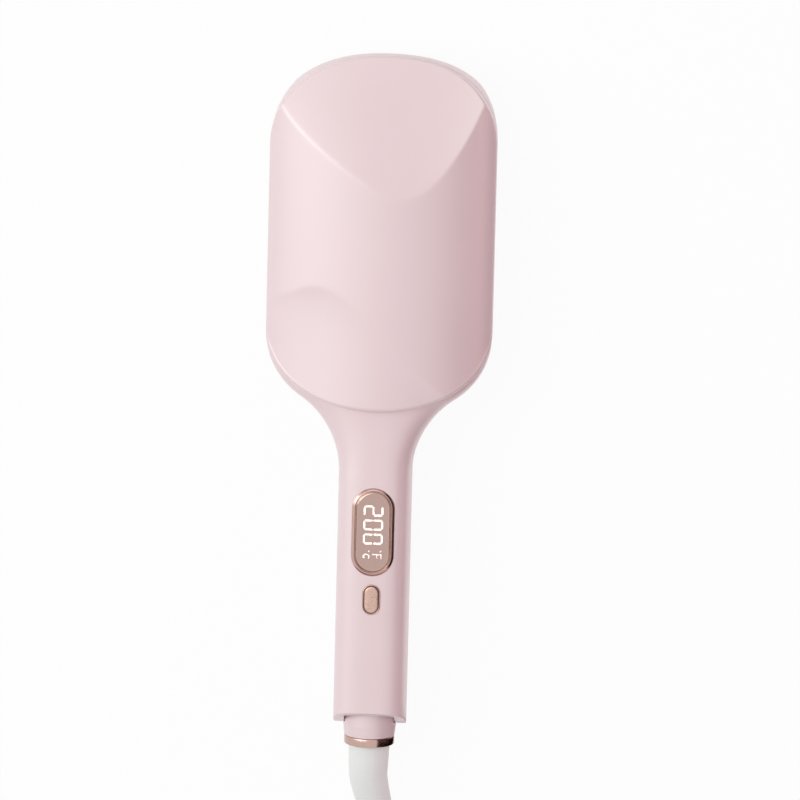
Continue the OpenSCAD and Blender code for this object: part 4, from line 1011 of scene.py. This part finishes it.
@dataclass
class Tail:
    """Ring and guard at the end of the handle, the cord with its coil and its run to the plug, and
    the tie.
    """

    ring_radius: float = 11.5
    bore_radius: float = 9.5
    ring_length: float = 4.0
    ring_y: float = -9.4
    guard_radius: float = 9.35
    guard_end: float = 4.6
    diameter: float = 6.5
    length: float = 1800.0
    coil_middle: tuple[float, float] = (-20.0, -112.5)
    coil_turns: float = 7.111
    coil_start: float = 28.0
    coil_low: float = 4.35
    layers: int = 4
    turn_gap: float = 0.12
    layer_gap: float = 0.05
    tie_width: float = 8.0
    tie_thickness: float = 0.9
    tie_corner: float = 3.4
    guard_route: tuple[tuple[float, float, float], ...] = (
        (0, -1.5, 22), (0, -8, 22), (-0.1, -14, 21.8), (-0.1, -19, 21.2), (1.1, -26, 20.1),
        (3.2, -34, 18.4), (6, -43, 15.6), (9.4, -52, 12.4), (13, -61, 9))
    cord_route: tuple[tuple[float, float, float], ...] = (
        (11.2, -56.6, 10.7), (13, -61, 9), (15.8, -70, 6.4), (18, -79, 5), (19.9, -90, 4.4))
    plug_route: tuple[tuple[float, float, float], ...] = (
        (-45, -158.4, 4.3), (-59.5, -153.4, 4.1), (-71.6, -145.6, 4.3), (-80.6, -136, 5.2),
        (-85.6, -127, 6.4), (-87, -120.2, 7))

    def _lathe(self, profile: Sequence[tuple[float, float]], sides: int = 96) -> Array:
        """Rings round the tool's long axis from radius and y, y from the handle's end.

        Args:
            profile: Pairs of radius and y.
            sides: Points round a ring.

        Returns:
            Rings by points by coordinates.
        """
        turn = np.linspace(0, 2 * np.pi, sides, endpoint=False)
        radius, y = (np.array(c)[:, None] for c in zip(*profile))
        x, h = radius * np.cos(turn), radius * np.sin(turn)
        return arm_points(x, np.broadcast_to(y, x.shape), h, Side.FRONT)

    def ring(self) -> bpy.types.Object:
        """Polished ring with softly rounded edges.

        Returns:
            The piece, which rides on the swivel.
        """
        y0, y1 = self.ring_y, self.ring_y + self.ring_length
        r, b = self.ring_radius, self.bore_radius
        profile = ((b, y0 + 0.3), (b + 0.2, y0 + 0.05), (r - 0.35, y0), (r - 0.1, y0 + 0.1),
                   (r, y0 + 0.35), (r, y1 - 0.35), (r - 0.1, y1 - 0.1), (r - 0.35, y1),
                   (b, y1), (b, y0 + 0.3))
        surface = Surface()
        surface.add_grid(self._lathe(profile), wrap=True)
        return place(surface.build("swivel_ring", 50), Body.SWIVEL, "rose_gold", "tail_ring")

    def guard(self) -> bpy.types.Object:
        """Thick tapered guard that bends towards the table.

        Formula: the radius falls with the 1.7th power of the way along the route, and
        within the last 2 percent it closes by 0.9 on a quarter circle.

        Returns:
            The piece, which rides on the back arm.
        """
        path = spline(self.guard_route, 72) + [0, -CORD_Y, 0]
        share = np.linspace(0, 1, len(path))
        radius = self.guard_radius - (self.guard_radius - self.guard_end) * share**1.7
        tip = np.clip((1 - share) / 0.02, 0, 1)
        radius = radius - 0.9 * (1 - np.sqrt(1 - (1 - tip) ** 2))
        surface = Surface()
        surface.add_tube(ring_points(path, np.gradient(path, axis=0), radius, 64))
        return place(surface.build("cord_guard_sleeve"), Body.BACK_ARM, "cord_white", "cord_guard")

    @property
    def spread(self) -> float:
        """Distance from the middle of the innermost turn to that of the outermost one."""
        return (self.diameter + self.turn_gap) * self.coil_turns / self.layers

    def _coil(self, radius: float) -> Array:
        """Centreline of the coil, layer by layer, in and out again.

        Formula: the radius runs as a triangle wave between the outermost and innermost turn
        while the angle falls evenly, and the height rises by a diameter round each turning
        point with a smooth step.

        Args:
            radius: Mean radius of the turns.

        Returns:
            Points in the row frame without the cord's own start.
        """
        spread = self.spread
        s = np.linspace(0, self.layers, int(self.coil_turns * 40))
        wave = np.abs((s + 1) % 2 - 1)
        reach = radius + spread / 2 - spread * wave
        step = s - 0.5
        whole = np.floor(step)
        part = np.clip((step - whole - 0.5) / 0.12 + 0.5, 0, 1)
        level = np.where(whole < 0, 0.0, whole + part * part * (3 - 2 * part))
        level = np.clip(level, 0, self.layers - 1)
        turn = math.radians(self.coil_start) - 2 * np.pi * self.coil_turns * s / self.layers
        return np.stack([self.coil_middle[0] + reach * np.cos(turn),
                         self.coil_middle[1] + reach * np.sin(turn),
                         self.coil_low + level * (self.diameter + self.layer_gap)], -1)

    def _line(self, radius: float) -> Array:
        """Whole centreline with the given mean radius of the coil.

        Args:
            radius: Mean radius of the turns.

        Returns:
            Points in the row frame without the cord's own start.
        """
        coil = self._coil(radius)
        lead = spline([*self.cord_route, *coil[3:9:3]], 36)
        start = coil[-1, :2] - self.coil_middle
        last, outer = math.atan2(start[1], start[0]), float(np.linalg.norm(start))
        away = np.radians([18, 38, 60, 82])
        reach = outer + np.array([1.4, 4.6, 7.6, 8.7])
        down = np.stack([self.coil_middle[0] + reach * np.cos(last - away),
                         self.coil_middle[1] + reach * np.sin(last - away),
                         [22.6, 17.0, 9.6, 5.0]], -1)
        tail = spline([coil[-7], coil[-4], coil[-1], *down, *self.plug_route], 90)
        return np.concatenate([lead, coil[7:-7], tail])

    @cached_property
    def mean_radius(self) -> float:
        """Mean radius of the coil that gives the cord its length, found by halving.

        Returns:
            The radius.
        """
        low, high = 30.0, 42.0
        for _ in range(18):
            radius = (low + high) / 2
            line = self._line(radius)
            run = float(np.linalg.norm(np.diff(line, axis=0), axis=1).sum())
            low, high = (radius, high) if run < self.length else (low, radius)
        LOG.info("cord: %.1f mm with a coil of radius %.1f", run, radius)
        return radius

    def path(self) -> Array:
        """Centreline of the whole cord in the row frame, in millimetres."""
        return self._line(self.mean_radius) + [0, -CORD_Y, 0]

    def tie(self) -> bpy.types.Object:
        """Soft strap closed round the bundle at its far side, with rounded corners.

        Formula: the strap's middle line is a rectangle round the cords' section with its
        corners rounded, and a flat rounded section is carried round it.

        Returns:
            The piece, which rides on the back arm.
        """
        t, corner = self.tie_thickness, self.tie_corner
        room = self.diameter / 2 + 0.3 + t / 2
        inner, outer = self.mean_radius - self.spread / 2, self.mean_radius + self.spread / 2
        y0, y1 = self.coil_middle[1] - outer - room, self.coil_middle[1] - inner + room
        z0 = self.coil_low - self.diameter / 2 - 0.15 - t / 2
        z1 = self.coil_low + (self.layers - 1) * (self.diameter + self.layer_gap) + room
        ends = np.array([(y1 - corner, z1 - corner), (y0 + corner, z1 - corner),
                         (y0 + corner, z0 + corner), (y1 - corner, z0 + corner)])
        angle = np.linspace(0, np.pi / 2, 9)[None] + np.arange(4)[:, None] * np.pi / 2
        normal = np.stack([np.cos(angle), np.sin(angle)], -1)
        line = (ends[:, None] + corner * normal).reshape(-1, 2)
        normal = normal.reshape(-1, 2)
        w, r = self.tie_width / 2, 0.3
        section = np.array([(-w + r, t / 2), (w - r, t / 2), (w - 0.09, t / 2 - 0.09),
                            (w, t / 2 - r), (w, r - t / 2), (w - 0.09, 0.09 - t / 2),
                            (w - r, -t / 2), (r - w, -t / 2), (0.09 - w, 0.09 - t / 2),
                            (-w, r - t / 2), (-w, t / 2 - r), (0.09 - w, t / 2 - 0.09),
                            (-w + r, t / 2)])
        place_yz = line[None] + section[:, 1, None, None] * normal[None]
        x = np.broadcast_to(self.coil_middle[0] + section[:, 0, None], place_yz.shape[:2])
        points = np.stack([x, place_yz[..., 0] - CORD_Y, place_yz[..., 1]], -1)
        surface = Surface()
        surface.add_grid(points, wrap=True)
        return place(surface.build("cord_tie_strap", 50), Body.BACK_ARM, "cord_white", "cord_tie")

    def cord(self) -> bpy.types.Object:
        """Round cord from the guard through its coil to the plug.

        Returns:
            The piece, with its centreline kept on it in millimetres.
        """
        path = self.path()
        surface = Surface()
        surface.add_tube(ring_points(path, np.gradient(path, axis=0),
                                     np.full(len(path), self.diameter / 2), 20))
        piece = place(surface.build("cord_run"), Body.BACK_ARM, "cord_white",
                      "power_cord", "cord_coil", "plug_cord")
        piece["centreline"] = path.ravel().tolist()
        return piece


class Pattern(Enum):
    """Surface patterns, each a shared node group."""

    MOULD_GRAIN = "mould_grain"
    DRAWN_METAL = "drawn_metal"
    SPECKLE = "speckle"
    FIBRE_MAT = "fibre_mat"


@dataclass(frozen=True)
class Finish:
    """A finish: colours as sRGB from 0 to 1, and what its pattern varies."""

    name: str
    color: tuple[float, float, float]
    second: tuple[float, float, float]
    roughness: float
    pattern: Pattern = Pattern.MOULD_GRAIN
    metallic: float = 0.0
    scale: float = 2500.0
    spread: float = 0.05
    depth: float = 0.000004
    coat: float = 0.0
    coat_roughness: float = 0.1
    specular: float = 0.5
    index: float = 1.5
    alpha: float = 1.0
    glow: float = 0.0


def linear(color: Sequence[float]) -> tuple[float, float, float, float]:
    """Linear colour with alpha 1 from an sRGB colour.

    Args:
        color: Red, green and blue from 0 to 1, as sRGB.

    Returns:
        Linear red, green and blue, and alpha 1.
    """
    c = np.asarray(color, float)
    flat = np.where(c <= 0.04045, c / 12.92, ((c + 0.055) / 1.055) ** 2.4)
    return (*flat.tolist(), 1.0)


class Patterns:
    """Builds each pattern's node group once.

    Every group has the inputs Color, Second, Roughness, Spread and Scale, and the outputs
    Color, Roughness and Height.
    """

    def __init__(self) -> None:
        """Starts with no groups."""
        self.made: dict[Pattern, bpy.types.NodeTree] = {}

    def get(self, pattern: Pattern) -> bpy.types.NodeTree:
        """Group of a pattern, made when it is first asked for.

        Args:
            pattern: The pattern.

        Returns:
            Its group's node tree.
        """
        if pattern not in self.made:
            self.made[pattern] = self._make(pattern)
        return self.made[pattern]

    def _make(self, pattern: Pattern) -> bpy.types.NodeTree:
        """Makes a group: a fine and a broad texture give the mask, its height and tone.

        Args:
            pattern: The pattern.

        Returns:
            The node tree.
        """
        tree = bpy.data.node_groups.new(pattern.value, "ShaderNodeTree")
        face = tree.interface
        for name, kind in (("Color", "NodeSocketColor"), ("Second", "NodeSocketColor"),
                           ("Roughness", "NodeSocketFloat"), ("Spread", "NodeSocketFloat"),
                           ("Scale", "NodeSocketFloat")):
            face.new_socket(name, in_out="INPUT", socket_type=kind)
        for name, kind in (("Color", "NodeSocketColor"), ("Roughness", "NodeSocketFloat"),
                           ("Height", "NodeSocketFloat")):
            face.new_socket(name, in_out="OUTPUT", socket_type=kind)
        nodes, links = tree.nodes, tree.links
        given, result = nodes.new("NodeGroupInput"), nodes.new("NodeGroupOutput")
        where = nodes.new("ShaderNodeTexCoord")
        turn = nodes.new("ShaderNodeMapping")
        links.new(where.outputs["Object"], turn.inputs["Vector"])
        if pattern is Pattern.DRAWN_METAL:
            turn.inputs["Scale"].default_value = (1.0, 0.04, 1.0)
        if pattern is Pattern.SPECKLE:
            fine = nodes.new("ShaderNodeTexVoronoi")
            fine.feature = "F1"
            fine_value = fine.outputs["Distance"]
        else:
            fine = nodes.new("ShaderNodeTexNoise")
            fine.inputs["Detail"].default_value = 3.0 if pattern is Pattern.FIBRE_MAT else 2.0
            fine.inputs["Distortion"].default_value = 2.5 if pattern is Pattern.FIBRE_MAT else 0.0
            fine_value = fine.outputs["Fac"]
        broad = nodes.new("ShaderNodeTexNoise")
        broad.inputs["Scale"].default_value = 22.0
        broad.inputs["Detail"].default_value = 2.0
        for texture in (fine, broad):
            links.new(turn.outputs["Vector"], texture.inputs["Vector"])
        links.new(given.outputs["Scale"], fine.inputs["Scale"])
        low, high = {Pattern.SPECKLE: (0.1, 0.55), Pattern.FIBRE_MAT: (0.3, 0.7),
                     Pattern.DRAWN_METAL: (0.3, 0.7), Pattern.MOULD_GRAIN: (0.35, 0.65)}[pattern]
        mask = nodes.new("ShaderNodeMapRange")
        mask.inputs["From Min"].default_value = low
        mask.inputs["From Max"].default_value = high
        links.new(fine_value, mask.inputs["Value"])
        wide = nodes.new("ShaderNodeMapRange")
        wide.inputs["From Min"].default_value = 0.35
        wide.inputs["From Max"].default_value = 0.65
        links.new(broad.outputs["Fac"], wide.inputs["Value"])
        share = nodes.new("ShaderNodeMix")
        share.data_type = "FLOAT"
        share.inputs["Factor"].default_value = 0.3 if pattern is Pattern.MOULD_GRAIN else 0.75
        links.new(wide.outputs["Result"], share.inputs["A"])
        links.new(mask.outputs["Result"], share.inputs["B"])
        tint = nodes.new("ShaderNodeMix")
        tint.data_type = "RGBA"
        links.new(share.outputs["Result"], tint.inputs["Factor"])
        links.new(given.outputs["Second"], tint.inputs["A"])
        links.new(given.outputs["Color"], tint.inputs["B"])
        links.new(tint.outputs["Result"], result.inputs["Color"])
        centred = nodes.new("ShaderNodeMath")
        centred.operation = "SUBTRACT"
        centred.inputs[1].default_value = 0.5
        links.new(share.outputs["Result"], centred.inputs[0])
        rough = nodes.new("ShaderNodeMath")
        rough.operation = "MULTIPLY_ADD"
        links.new(centred.outputs["Value"], rough.inputs[0])
        links.new(given.outputs["Spread"], rough.inputs[1])
        links.new(given.outputs["Roughness"], rough.inputs[2])
        links.new(rough.outputs["Value"], result.inputs["Roughness"])
        links.new(mask.outputs["Result"], result.inputs["Height"])
        return tree


class Paint:
    """Makes a material for each finish and puts it on pieces and CAD nodes."""

    def __init__(self) -> None:
        """Starts with no materials."""
        self.patterns = Patterns()
        self.made: dict[str, bpy.types.Material] = {}

    def material(self, finish: Finish) -> bpy.types.Material:
        """Material of a finish: its pattern feeds the Principled shader and a bump.

        Args:
            finish: The finish.

        Returns:
            The material.
        """
        if finish.name in self.made:
            return self.made[finish.name]
        material = bpy.data.materials.new(finish.name)
        material.use_nodes = True
        tree = material.node_tree
        shader = tree.nodes["Principled BSDF"]
        group = tree.nodes.new("ShaderNodeGroup")
        group.node_tree = self.patterns.get(finish.pattern)
        group.inputs["Color"].default_value = linear(finish.color)
        group.inputs["Second"].default_value = linear(finish.second)
        group.inputs["Roughness"].default_value = finish.roughness
        group.inputs["Spread"].default_value = finish.spread
        group.inputs["Scale"].default_value = finish.scale
        bump = tree.nodes.new("ShaderNodeBump")
        bump.inputs["Distance"].default_value = finish.depth
        tree.links.new(group.outputs["Color"], shader.inputs["Base Color"])
        tree.links.new(group.outputs["Roughness"], shader.inputs["Roughness"])
        tree.links.new(group.outputs["Height"], bump.inputs["Height"])
        tree.links.new(bump.outputs["Normal"], shader.inputs["Normal"])
        shader.inputs["Metallic"].default_value = finish.metallic
        shader.inputs["Specular IOR Level"].default_value = finish.specular
        shader.inputs["IOR"].default_value = finish.index
        shader.inputs["Coat Weight"].default_value = finish.coat
        shader.inputs["Coat Roughness"].default_value = finish.coat_roughness
        if finish.alpha < 1:
            sight = tree.nodes.new("ShaderNodeNewGeometry")
            cover = tree.nodes.new("ShaderNodeMath")
            cover.operation = "MULTIPLY_ADD"
            cover.inputs[1].default_value = -finish.alpha
            cover.inputs[2].default_value = finish.alpha
            tree.links.new(sight.outputs["Backfacing"], cover.inputs[0])
            tree.links.new(cover.outputs["Value"], shader.inputs["Alpha"])
        if finish.glow > 0:
            tree.links.new(group.outputs["Color"], shader.inputs["Emission Color"])
            shader.inputs["Emission Strength"].default_value = finish.glow
        self.made[finish.name] = material
        return material

    def dress(self, piece: bpy.types.Object, finish: Finish) -> bpy.types.Object:
        """Gives a piece one finish all over.

        Args:
            piece: A piece or CAD node.
            finish: The finish.

        Returns:
            The same piece.
        """
        material = self.material(finish)
        if piece.material_slots:
            for slot in piece.material_slots:
                slot.material = material
        else:
            piece.data.materials.append(material)
        return piece


PINK = Finish("satin_pink", (0.905, 0.797, 0.81), (0.895, 0.785, 0.798), 0.45, spread=0.05,
              specular=1.0, index=1.85, coat=1.0, coat_roughness=0.45)
ROSE_GOLD = Finish("rose_gold", (0.79, 0.675, 0.64), (0.75, 0.63, 0.59), 0.2,
                   Pattern.DRAWN_METAL, metallic=1.0, scale=3500, depth=0.0000006)
BUTTON_GOLD = Finish("speckled_rose_gold", (0.83, 0.71, 0.66), (0.66, 0.52, 0.47), 0.36,
                     Pattern.SPECKLE, metallic=1.0, scale=1700, spread=0.2, depth=0.00002)
LENS = Finish("tinted_lens", (0.80, 0.68, 0.64), (0.78, 0.66, 0.62), 0.1, metallic=0.9,
              scale=900, spread=0.02, depth=0.0000002, alpha=0.84, coat=0.4)
LIT = Finish("lit_white", (0.98, 1.0, 1.0), (0.95, 0.98, 0.98), 0.4, glow=4.5)
DARK = Finish("dark_plastic", (0.15, 0.14, 0.14), (0.12, 0.11, 0.11), 0.55)
FRAME = Finish("frame_plastic", (0.30, 0.28, 0.29), (0.26, 0.24, 0.25), 0.6, scale=1600,
               depth=0.00001)
LINER = Finish("liner_plastic", (0.90, 0.80, 0.815), (0.88, 0.775, 0.79), 0.5, scale=1800,
               depth=0.000008)
PLATE = Finish("ceramic_coating", (0.56, 0.44, 0.42), (0.52, 0.40, 0.38), 0.3,
               metallic=0.35, scale=2200, coat=0.5, coat_roughness=0.2, depth=0.000003)
HEATER = Finish("heater_film", (0.76, 0.58, 0.28), (0.66, 0.47, 0.2), 0.35, scale=700)
STEEL = Finish("spring_steel", (0.66, 0.66, 0.66), (0.52, 0.52, 0.53), 0.28,
               Pattern.DRAWN_METAL, metallic=1.0, scale=2600, spread=0.16, depth=0.000003)
BOARD = Finish("solder_mask", (0.13, 0.42, 0.25), (0.10, 0.34, 0.20), 0.35, scale=500)
PART = Finish("moulded_part", (0.22, 0.24, 0.34), (0.17, 0.19, 0.28), 0.5, scale=1500)
BRASS = Finish("contact_brass", (0.82, 0.68, 0.36), (0.7, 0.55, 0.25), 0.25,
               Pattern.DRAWN_METAL, metallic=1.0, scale=2600, depth=0.000002)
WHITE = Finish("white_plastic", (0.93, 0.93, 0.925), (0.91, 0.91, 0.905), 0.4)
JACKET = Finish("cord_jacket", (0.94, 0.94, 0.935), (0.92, 0.92, 0.915), 0.45, scale=1300,
                depth=0.000006)
SLEEVE = Finish("wire_sleeve", (0.9, 0.9, 0.89), (0.84, 0.84, 0.83), 0.5, scale=1300)
WOOL = Finish("glass_wool", (0.87, 0.85, 0.80), (0.74, 0.71, 0.65), 0.95, Pattern.FIBRE_MAT,
              scale=900, depth=0.00015, spread=0.0)
NICKEL = Finish("nickel_plate", (0.82, 0.82, 0.80), (0.74, 0.74, 0.72), 0.2,
                Pattern.DRAWN_METAL, metallic=1.0, scale=2400, depth=0.000001)

SLOT_FINISH = {
    "pink_plastic": PINK, "rose_gold": ROSE_GOLD, "tinted_lens": LENS, "lit_digit": LIT,
    "dark_plastic": DARK, "frame_plastic": FRAME, "liner_plastic": LINER,
    "coated_plate": PLATE, "heater": HEATER, "spring_steel": STEEL, "board": BOARD,
    "component": PART, "contact": BRASS, "white_plastic": WHITE, "cord_white": JACKET,
    "wire": SLEEVE, "pad_wool": WOOL, "pin_metal": NICKEL,
}


@dataclass(frozen=True)
class Lamp:
    """A soft rectangular lamp: place and size in metres, power in watts, and colour."""

    name: str
    place: tuple[float, float, float]
    size: tuple[float, float]
    power: float
    color: tuple[float, float, float] = (1.0, 1.0, 1.0)


@dataclass
class Studio:
    """Camera, lamps, world and floor.

    The key and top lamps stand on the left, one lamp on the tip's side, and a low pink one
    on the right deepens the colour of the right sides.
    """

    distance: float = 5000.0
    lens: float = 495.17
    lean: float = 12.654
    side: float = 1.904
    roll: float = 1.427
    target: tuple[float, float, float] = (10.24, 1.06, 22.0)
    soft_lamps: tuple[Lamp, ...] = (
        Lamp("key", (-1.5, 0.35, 1.25), (0.9, 1.6), 11.4, (0.945, 1.0, 0.98)),
        Lamp("top", (-0.8, 0.5, 1.9), (1.0, 1.2), 6.9, (0.965, 1.0, 0.99)),
        Lamp("tip", (-0.2, 1.9, 1.0), (1.2, 0.7), 2.7),
        Lamp("rim", (1.6, 0.0, 0.35), (0.4, 1.6), 5.8, (1.0, 0.56, 0.61)))
    ambient: float = 0.51
    floor_size: float = 6.0
    floor_tone: float = 0.95
    floor_glow: float = 0.93

    def camera(self) -> bpy.types.Object:
        """Camera at the photograph's angle: far away and long, looking down from the tip's side.

        Returns:
            The camera, which is made the scene's own.
        """
        data = bpy.data.cameras.new("camera")
        data.sensor_width = 36.0
        data.lens = self.lens
        data.clip_start, data.clip_end = 0.5, 30.0
        lean, side, roll = (math.radians(a) for a in (self.lean, self.side, self.roll))
        back = Vector((math.sin(side), math.sin(lean) * math.cos(side),
                       math.cos(lean) * math.cos(side)))
        right = Vector((0, 1, 0)).cross(back).normalized()
        up = back.cross(right)
        turned = right * math.cos(roll) + up * math.sin(roll)
        upright = up * math.cos(roll) - right * math.sin(roll)
        camera = bpy.data.objects.new("camera", data)
        matrix = Matrix((turned, upright, back)).transposed().to_4x4()
        matrix.translation = (Vector(self.target) + back * self.distance) / 1000
        camera.matrix_world = matrix
        bpy.context.scene.collection.objects.link(camera)
        bpy.context.scene.camera = camera
        return camera

    def _lamp(self, lamp: Lamp) -> None:
        """Hangs up a lamp that faces the tool.

        Args:
            lamp: The lamp.
        """
        data = bpy.data.lights.new(lamp.name, "AREA")
        data.shape = "RECTANGLE"
        data.size, data.size_y = lamp.size
        data.energy = lamp.power
        data.color = lamp.color
        piece = bpy.data.objects.new(lamp.name, data)
        piece.location = lamp.place
        piece.rotation_euler = (-Vector(lamp.place)).to_track_quat("-Z", "Y").to_euler()
        bpy.context.scene.collection.objects.link(piece)

    def _card(self, name: str, profile: Sequence[tuple[float, float]],
              span: tuple[float, float]) -> None:
        """Black card bent along a profile of x and z, which only reflections show.

        Args:
            name: The card's name.
            profile: Corners of the card as x and z, in metres.
            span: Its ends along y, in metres.
        """
        mesh = bpy.data.meshes.new(name)
        points = [(x, y, z) for x, z in profile for y in span]
        folds = range(0, len(points) - 2, 2)
        mesh.from_pydata(points, [], [(i, i + 1, i + 3, i + 2) for i in folds])
        card = bpy.data.objects.new(name, mesh)
        bpy.context.scene.collection.objects.link(card)
        material = bpy.data.materials.new(name)
        material.use_nodes = True
        shader = material.node_tree.nodes["Principled BSDF"]
        shader.inputs["Base Color"].default_value = (0.012, 0.008, 0.008, 1.0)
        shader.inputs["Roughness"].default_value = 1.0
        shader.inputs["Specular IOR Level"].default_value = 0.0
        mesh.materials.append(material)
        card.visible_camera = card.visible_diffuse = card.visible_shadow = False
        card.visible_transmission = False

    def lamps(self) -> None:
        """Hangs up the lamps and puts up the dark cards that the metal reflects."""
        for lamp in self.soft_lamps:
            self._lamp(lamp)
        self._card("right_card", ((0.08, 0.001), (0.45, 0.001), (0.5, 0.03), (0.5, 0.62)),
                   (-0.7, 0.7))
        self._card("tail_card", ((0.024, 0.0012), (0.085, 0.0012)), (-0.24, -0.155))

    def _seen(self, tree: bpy.types.NodeTree) -> bpy.types.NodeSocket:
        """1 for rays from the camera, from metal and through glass, else 0.

        Args:
            tree: Node tree that gets the nodes.

        Returns:
            The socket with the value.
        """
        path = tree.nodes.new("ShaderNodeLightPath")
        first, second = tree.nodes.new("ShaderNodeMath"), tree.nodes.new("ShaderNodeMath")
        first.operation = second.operation = "MAXIMUM"
        tree.links.new(path.outputs["Is Camera Ray"], first.inputs[0])
        tree.links.new(path.outputs["Is Glossy Ray"], first.inputs[1])
        tree.links.new(first.outputs["Value"], second.inputs[0])
        tree.links.new(path.outputs["Is Transmission Ray"], second.inputs[1])
        return second.outputs["Value"]

    def world(self) -> None:
        """White where the camera, metal and glass see it, and a mild light for the rest."""
        world = bpy.data.worlds.new("studio")
        bpy.context.scene.world = world
        world.use_nodes = True
        tree = world.node_tree
        plain = tree.nodes["Background"]
        plain.inputs["Color"].default_value = (1.0, 0.985, 0.985, 1.0)
        plain.inputs["Strength"].default_value = self.ambient
        white = tree.nodes.new("ShaderNodeBackground")
        white.inputs["Color"].default_value = (1.0, 1.0, 1.0, 1.0)
        white.inputs["Strength"].default_value = 1.0
        mix = tree.nodes.new("ShaderNodeMixShader")
        tree.links.new(self._seen(tree), mix.inputs["Fac"])
        tree.links.new(plain.outputs["Background"], mix.inputs[1])
        tree.links.new(white.outputs["Background"], mix.inputs[2])
        tree.links.new(mix.outputs["Shader"], tree.nodes["World Output"].inputs["Surface"])

    def floor(self) -> None:
        """Pale floor that stays white where it is lit and keeps the tool's soft shadow."""
        mesh = bpy.data.meshes.new("floor")
        corners = np.array([(-1, -1), (1, -1), (1, 1), (-1, 1)], float) * self.floor_size
        mesh.from_pydata([(x, y, -0.0002) for x, y in corners], [], [(0, 1, 2, 3)])
        floor = bpy.data.objects.new("floor", mesh)
        bpy.context.scene.collection.objects.link(floor)
        material = bpy.data.materials.new("pale_floor")
        material.use_nodes = True
        tree = material.node_tree
        shader = tree.nodes["Principled BSDF"]
        shader.inputs["Base Color"].default_value = (*[self.floor_tone] * 3, 1.0)
        shader.inputs["Roughness"].default_value = 0.9
        white = tree.nodes.new("ShaderNodeEmission")
        white.inputs["Strength"].default_value = 1.0
        share = tree.nodes.new("ShaderNodeMath")
        share.operation = "MULTIPLY"
        share.inputs[1].default_value = self.floor_glow
        mix = tree.nodes.new("ShaderNodeMixShader")
        tree.links.new(self._seen(tree), share.inputs[0])
        tree.links.new(share.outputs["Value"], mix.inputs["Fac"])
        tree.links.new(shader.outputs["BSDF"], mix.inputs[1])
        tree.links.new(white.outputs["Emission"], mix.inputs[2])
        tree.links.new(mix.outputs["Shader"], tree.nodes["Material Output"].inputs["Surface"])
        mesh.materials.append(material)


def main() -> None:
    """Builds the camera and the cord, then the arms, the display, the tail and the studio."""
    logging.basicConfig(level=logging.INFO, format="%(message)s")
    bpy.context.scene.view_settings.view_transform = "Standard"
    studio, tail, shape, paint = Studio(), Tail(), ArmShape(), Paint()
    studio.camera()
    paint.dress(tail.tie(), WHITE)
    cord = paint.dress(tail.cord(), JACKET)
    del cord["centreline"]
    paint.dress(tail.guard(), JACKET)
    paint.dress(tail.ring(), ROSE_GOLD)

    display, button = Display(), PowerButton()
    front = HandleShell(Side.FRONT, shape, openings=(
        (button.middle, button.width + 0.1, button.length + 0.1),
        (display.middle, display.width + 0.1, display.length + 0.1)))
    back = HandleShell(Side.BACK, shape, end_wall=1.6, openings=((46.5, 7.6, 16.0),),
                       recess=0.8)
    for shell, body, node in ((front, Body.FRONT_ARM, "front_handle_shell"),
                              (back, Body.BACK_ARM, "back_handle_shell")):
        piece = shell.surface().build(node + "_skin", 40)
        paint.dress(place(piece, body, "pink_plastic", node), PINK)
    for side, body, node in ((Side.FRONT, Body.FRONT_ARM, "front_head_cover"),
                             (Side.BACK, Body.BACK_ARM, "back_head_cover")):
        piece = HeadCover(side, shape).surface().build(node + "_skin", 40)
        paint.dress(place(piece, body, "pink_plastic", node), PINK)

    paint.dress(display.bezel(), ROSE_GOLD)
    paint.dress(display.lens(), LENS)
    paint.dress(display.reading(), LIT)
    paint.dress(button.bezel(), ROSE_GOLD)
    paint.dress(button.cap(), BUTTON_GOLD)

    slots = {row["node"]: row["material_slot"] for row in frame["record"]["subparts"]}
    for name, node in frame["nodes"].items():
        if not node.hide_render:
            paint.dress(node, SLOT_FINISH[slots[name]])
            LOG.info("%s: CAD node in %s", name, SLOT_FINISH[slots[name]].name)

    studio.lamps()
    studio.world()
    studio.floor()


if __name__ == "__main__":
    main()
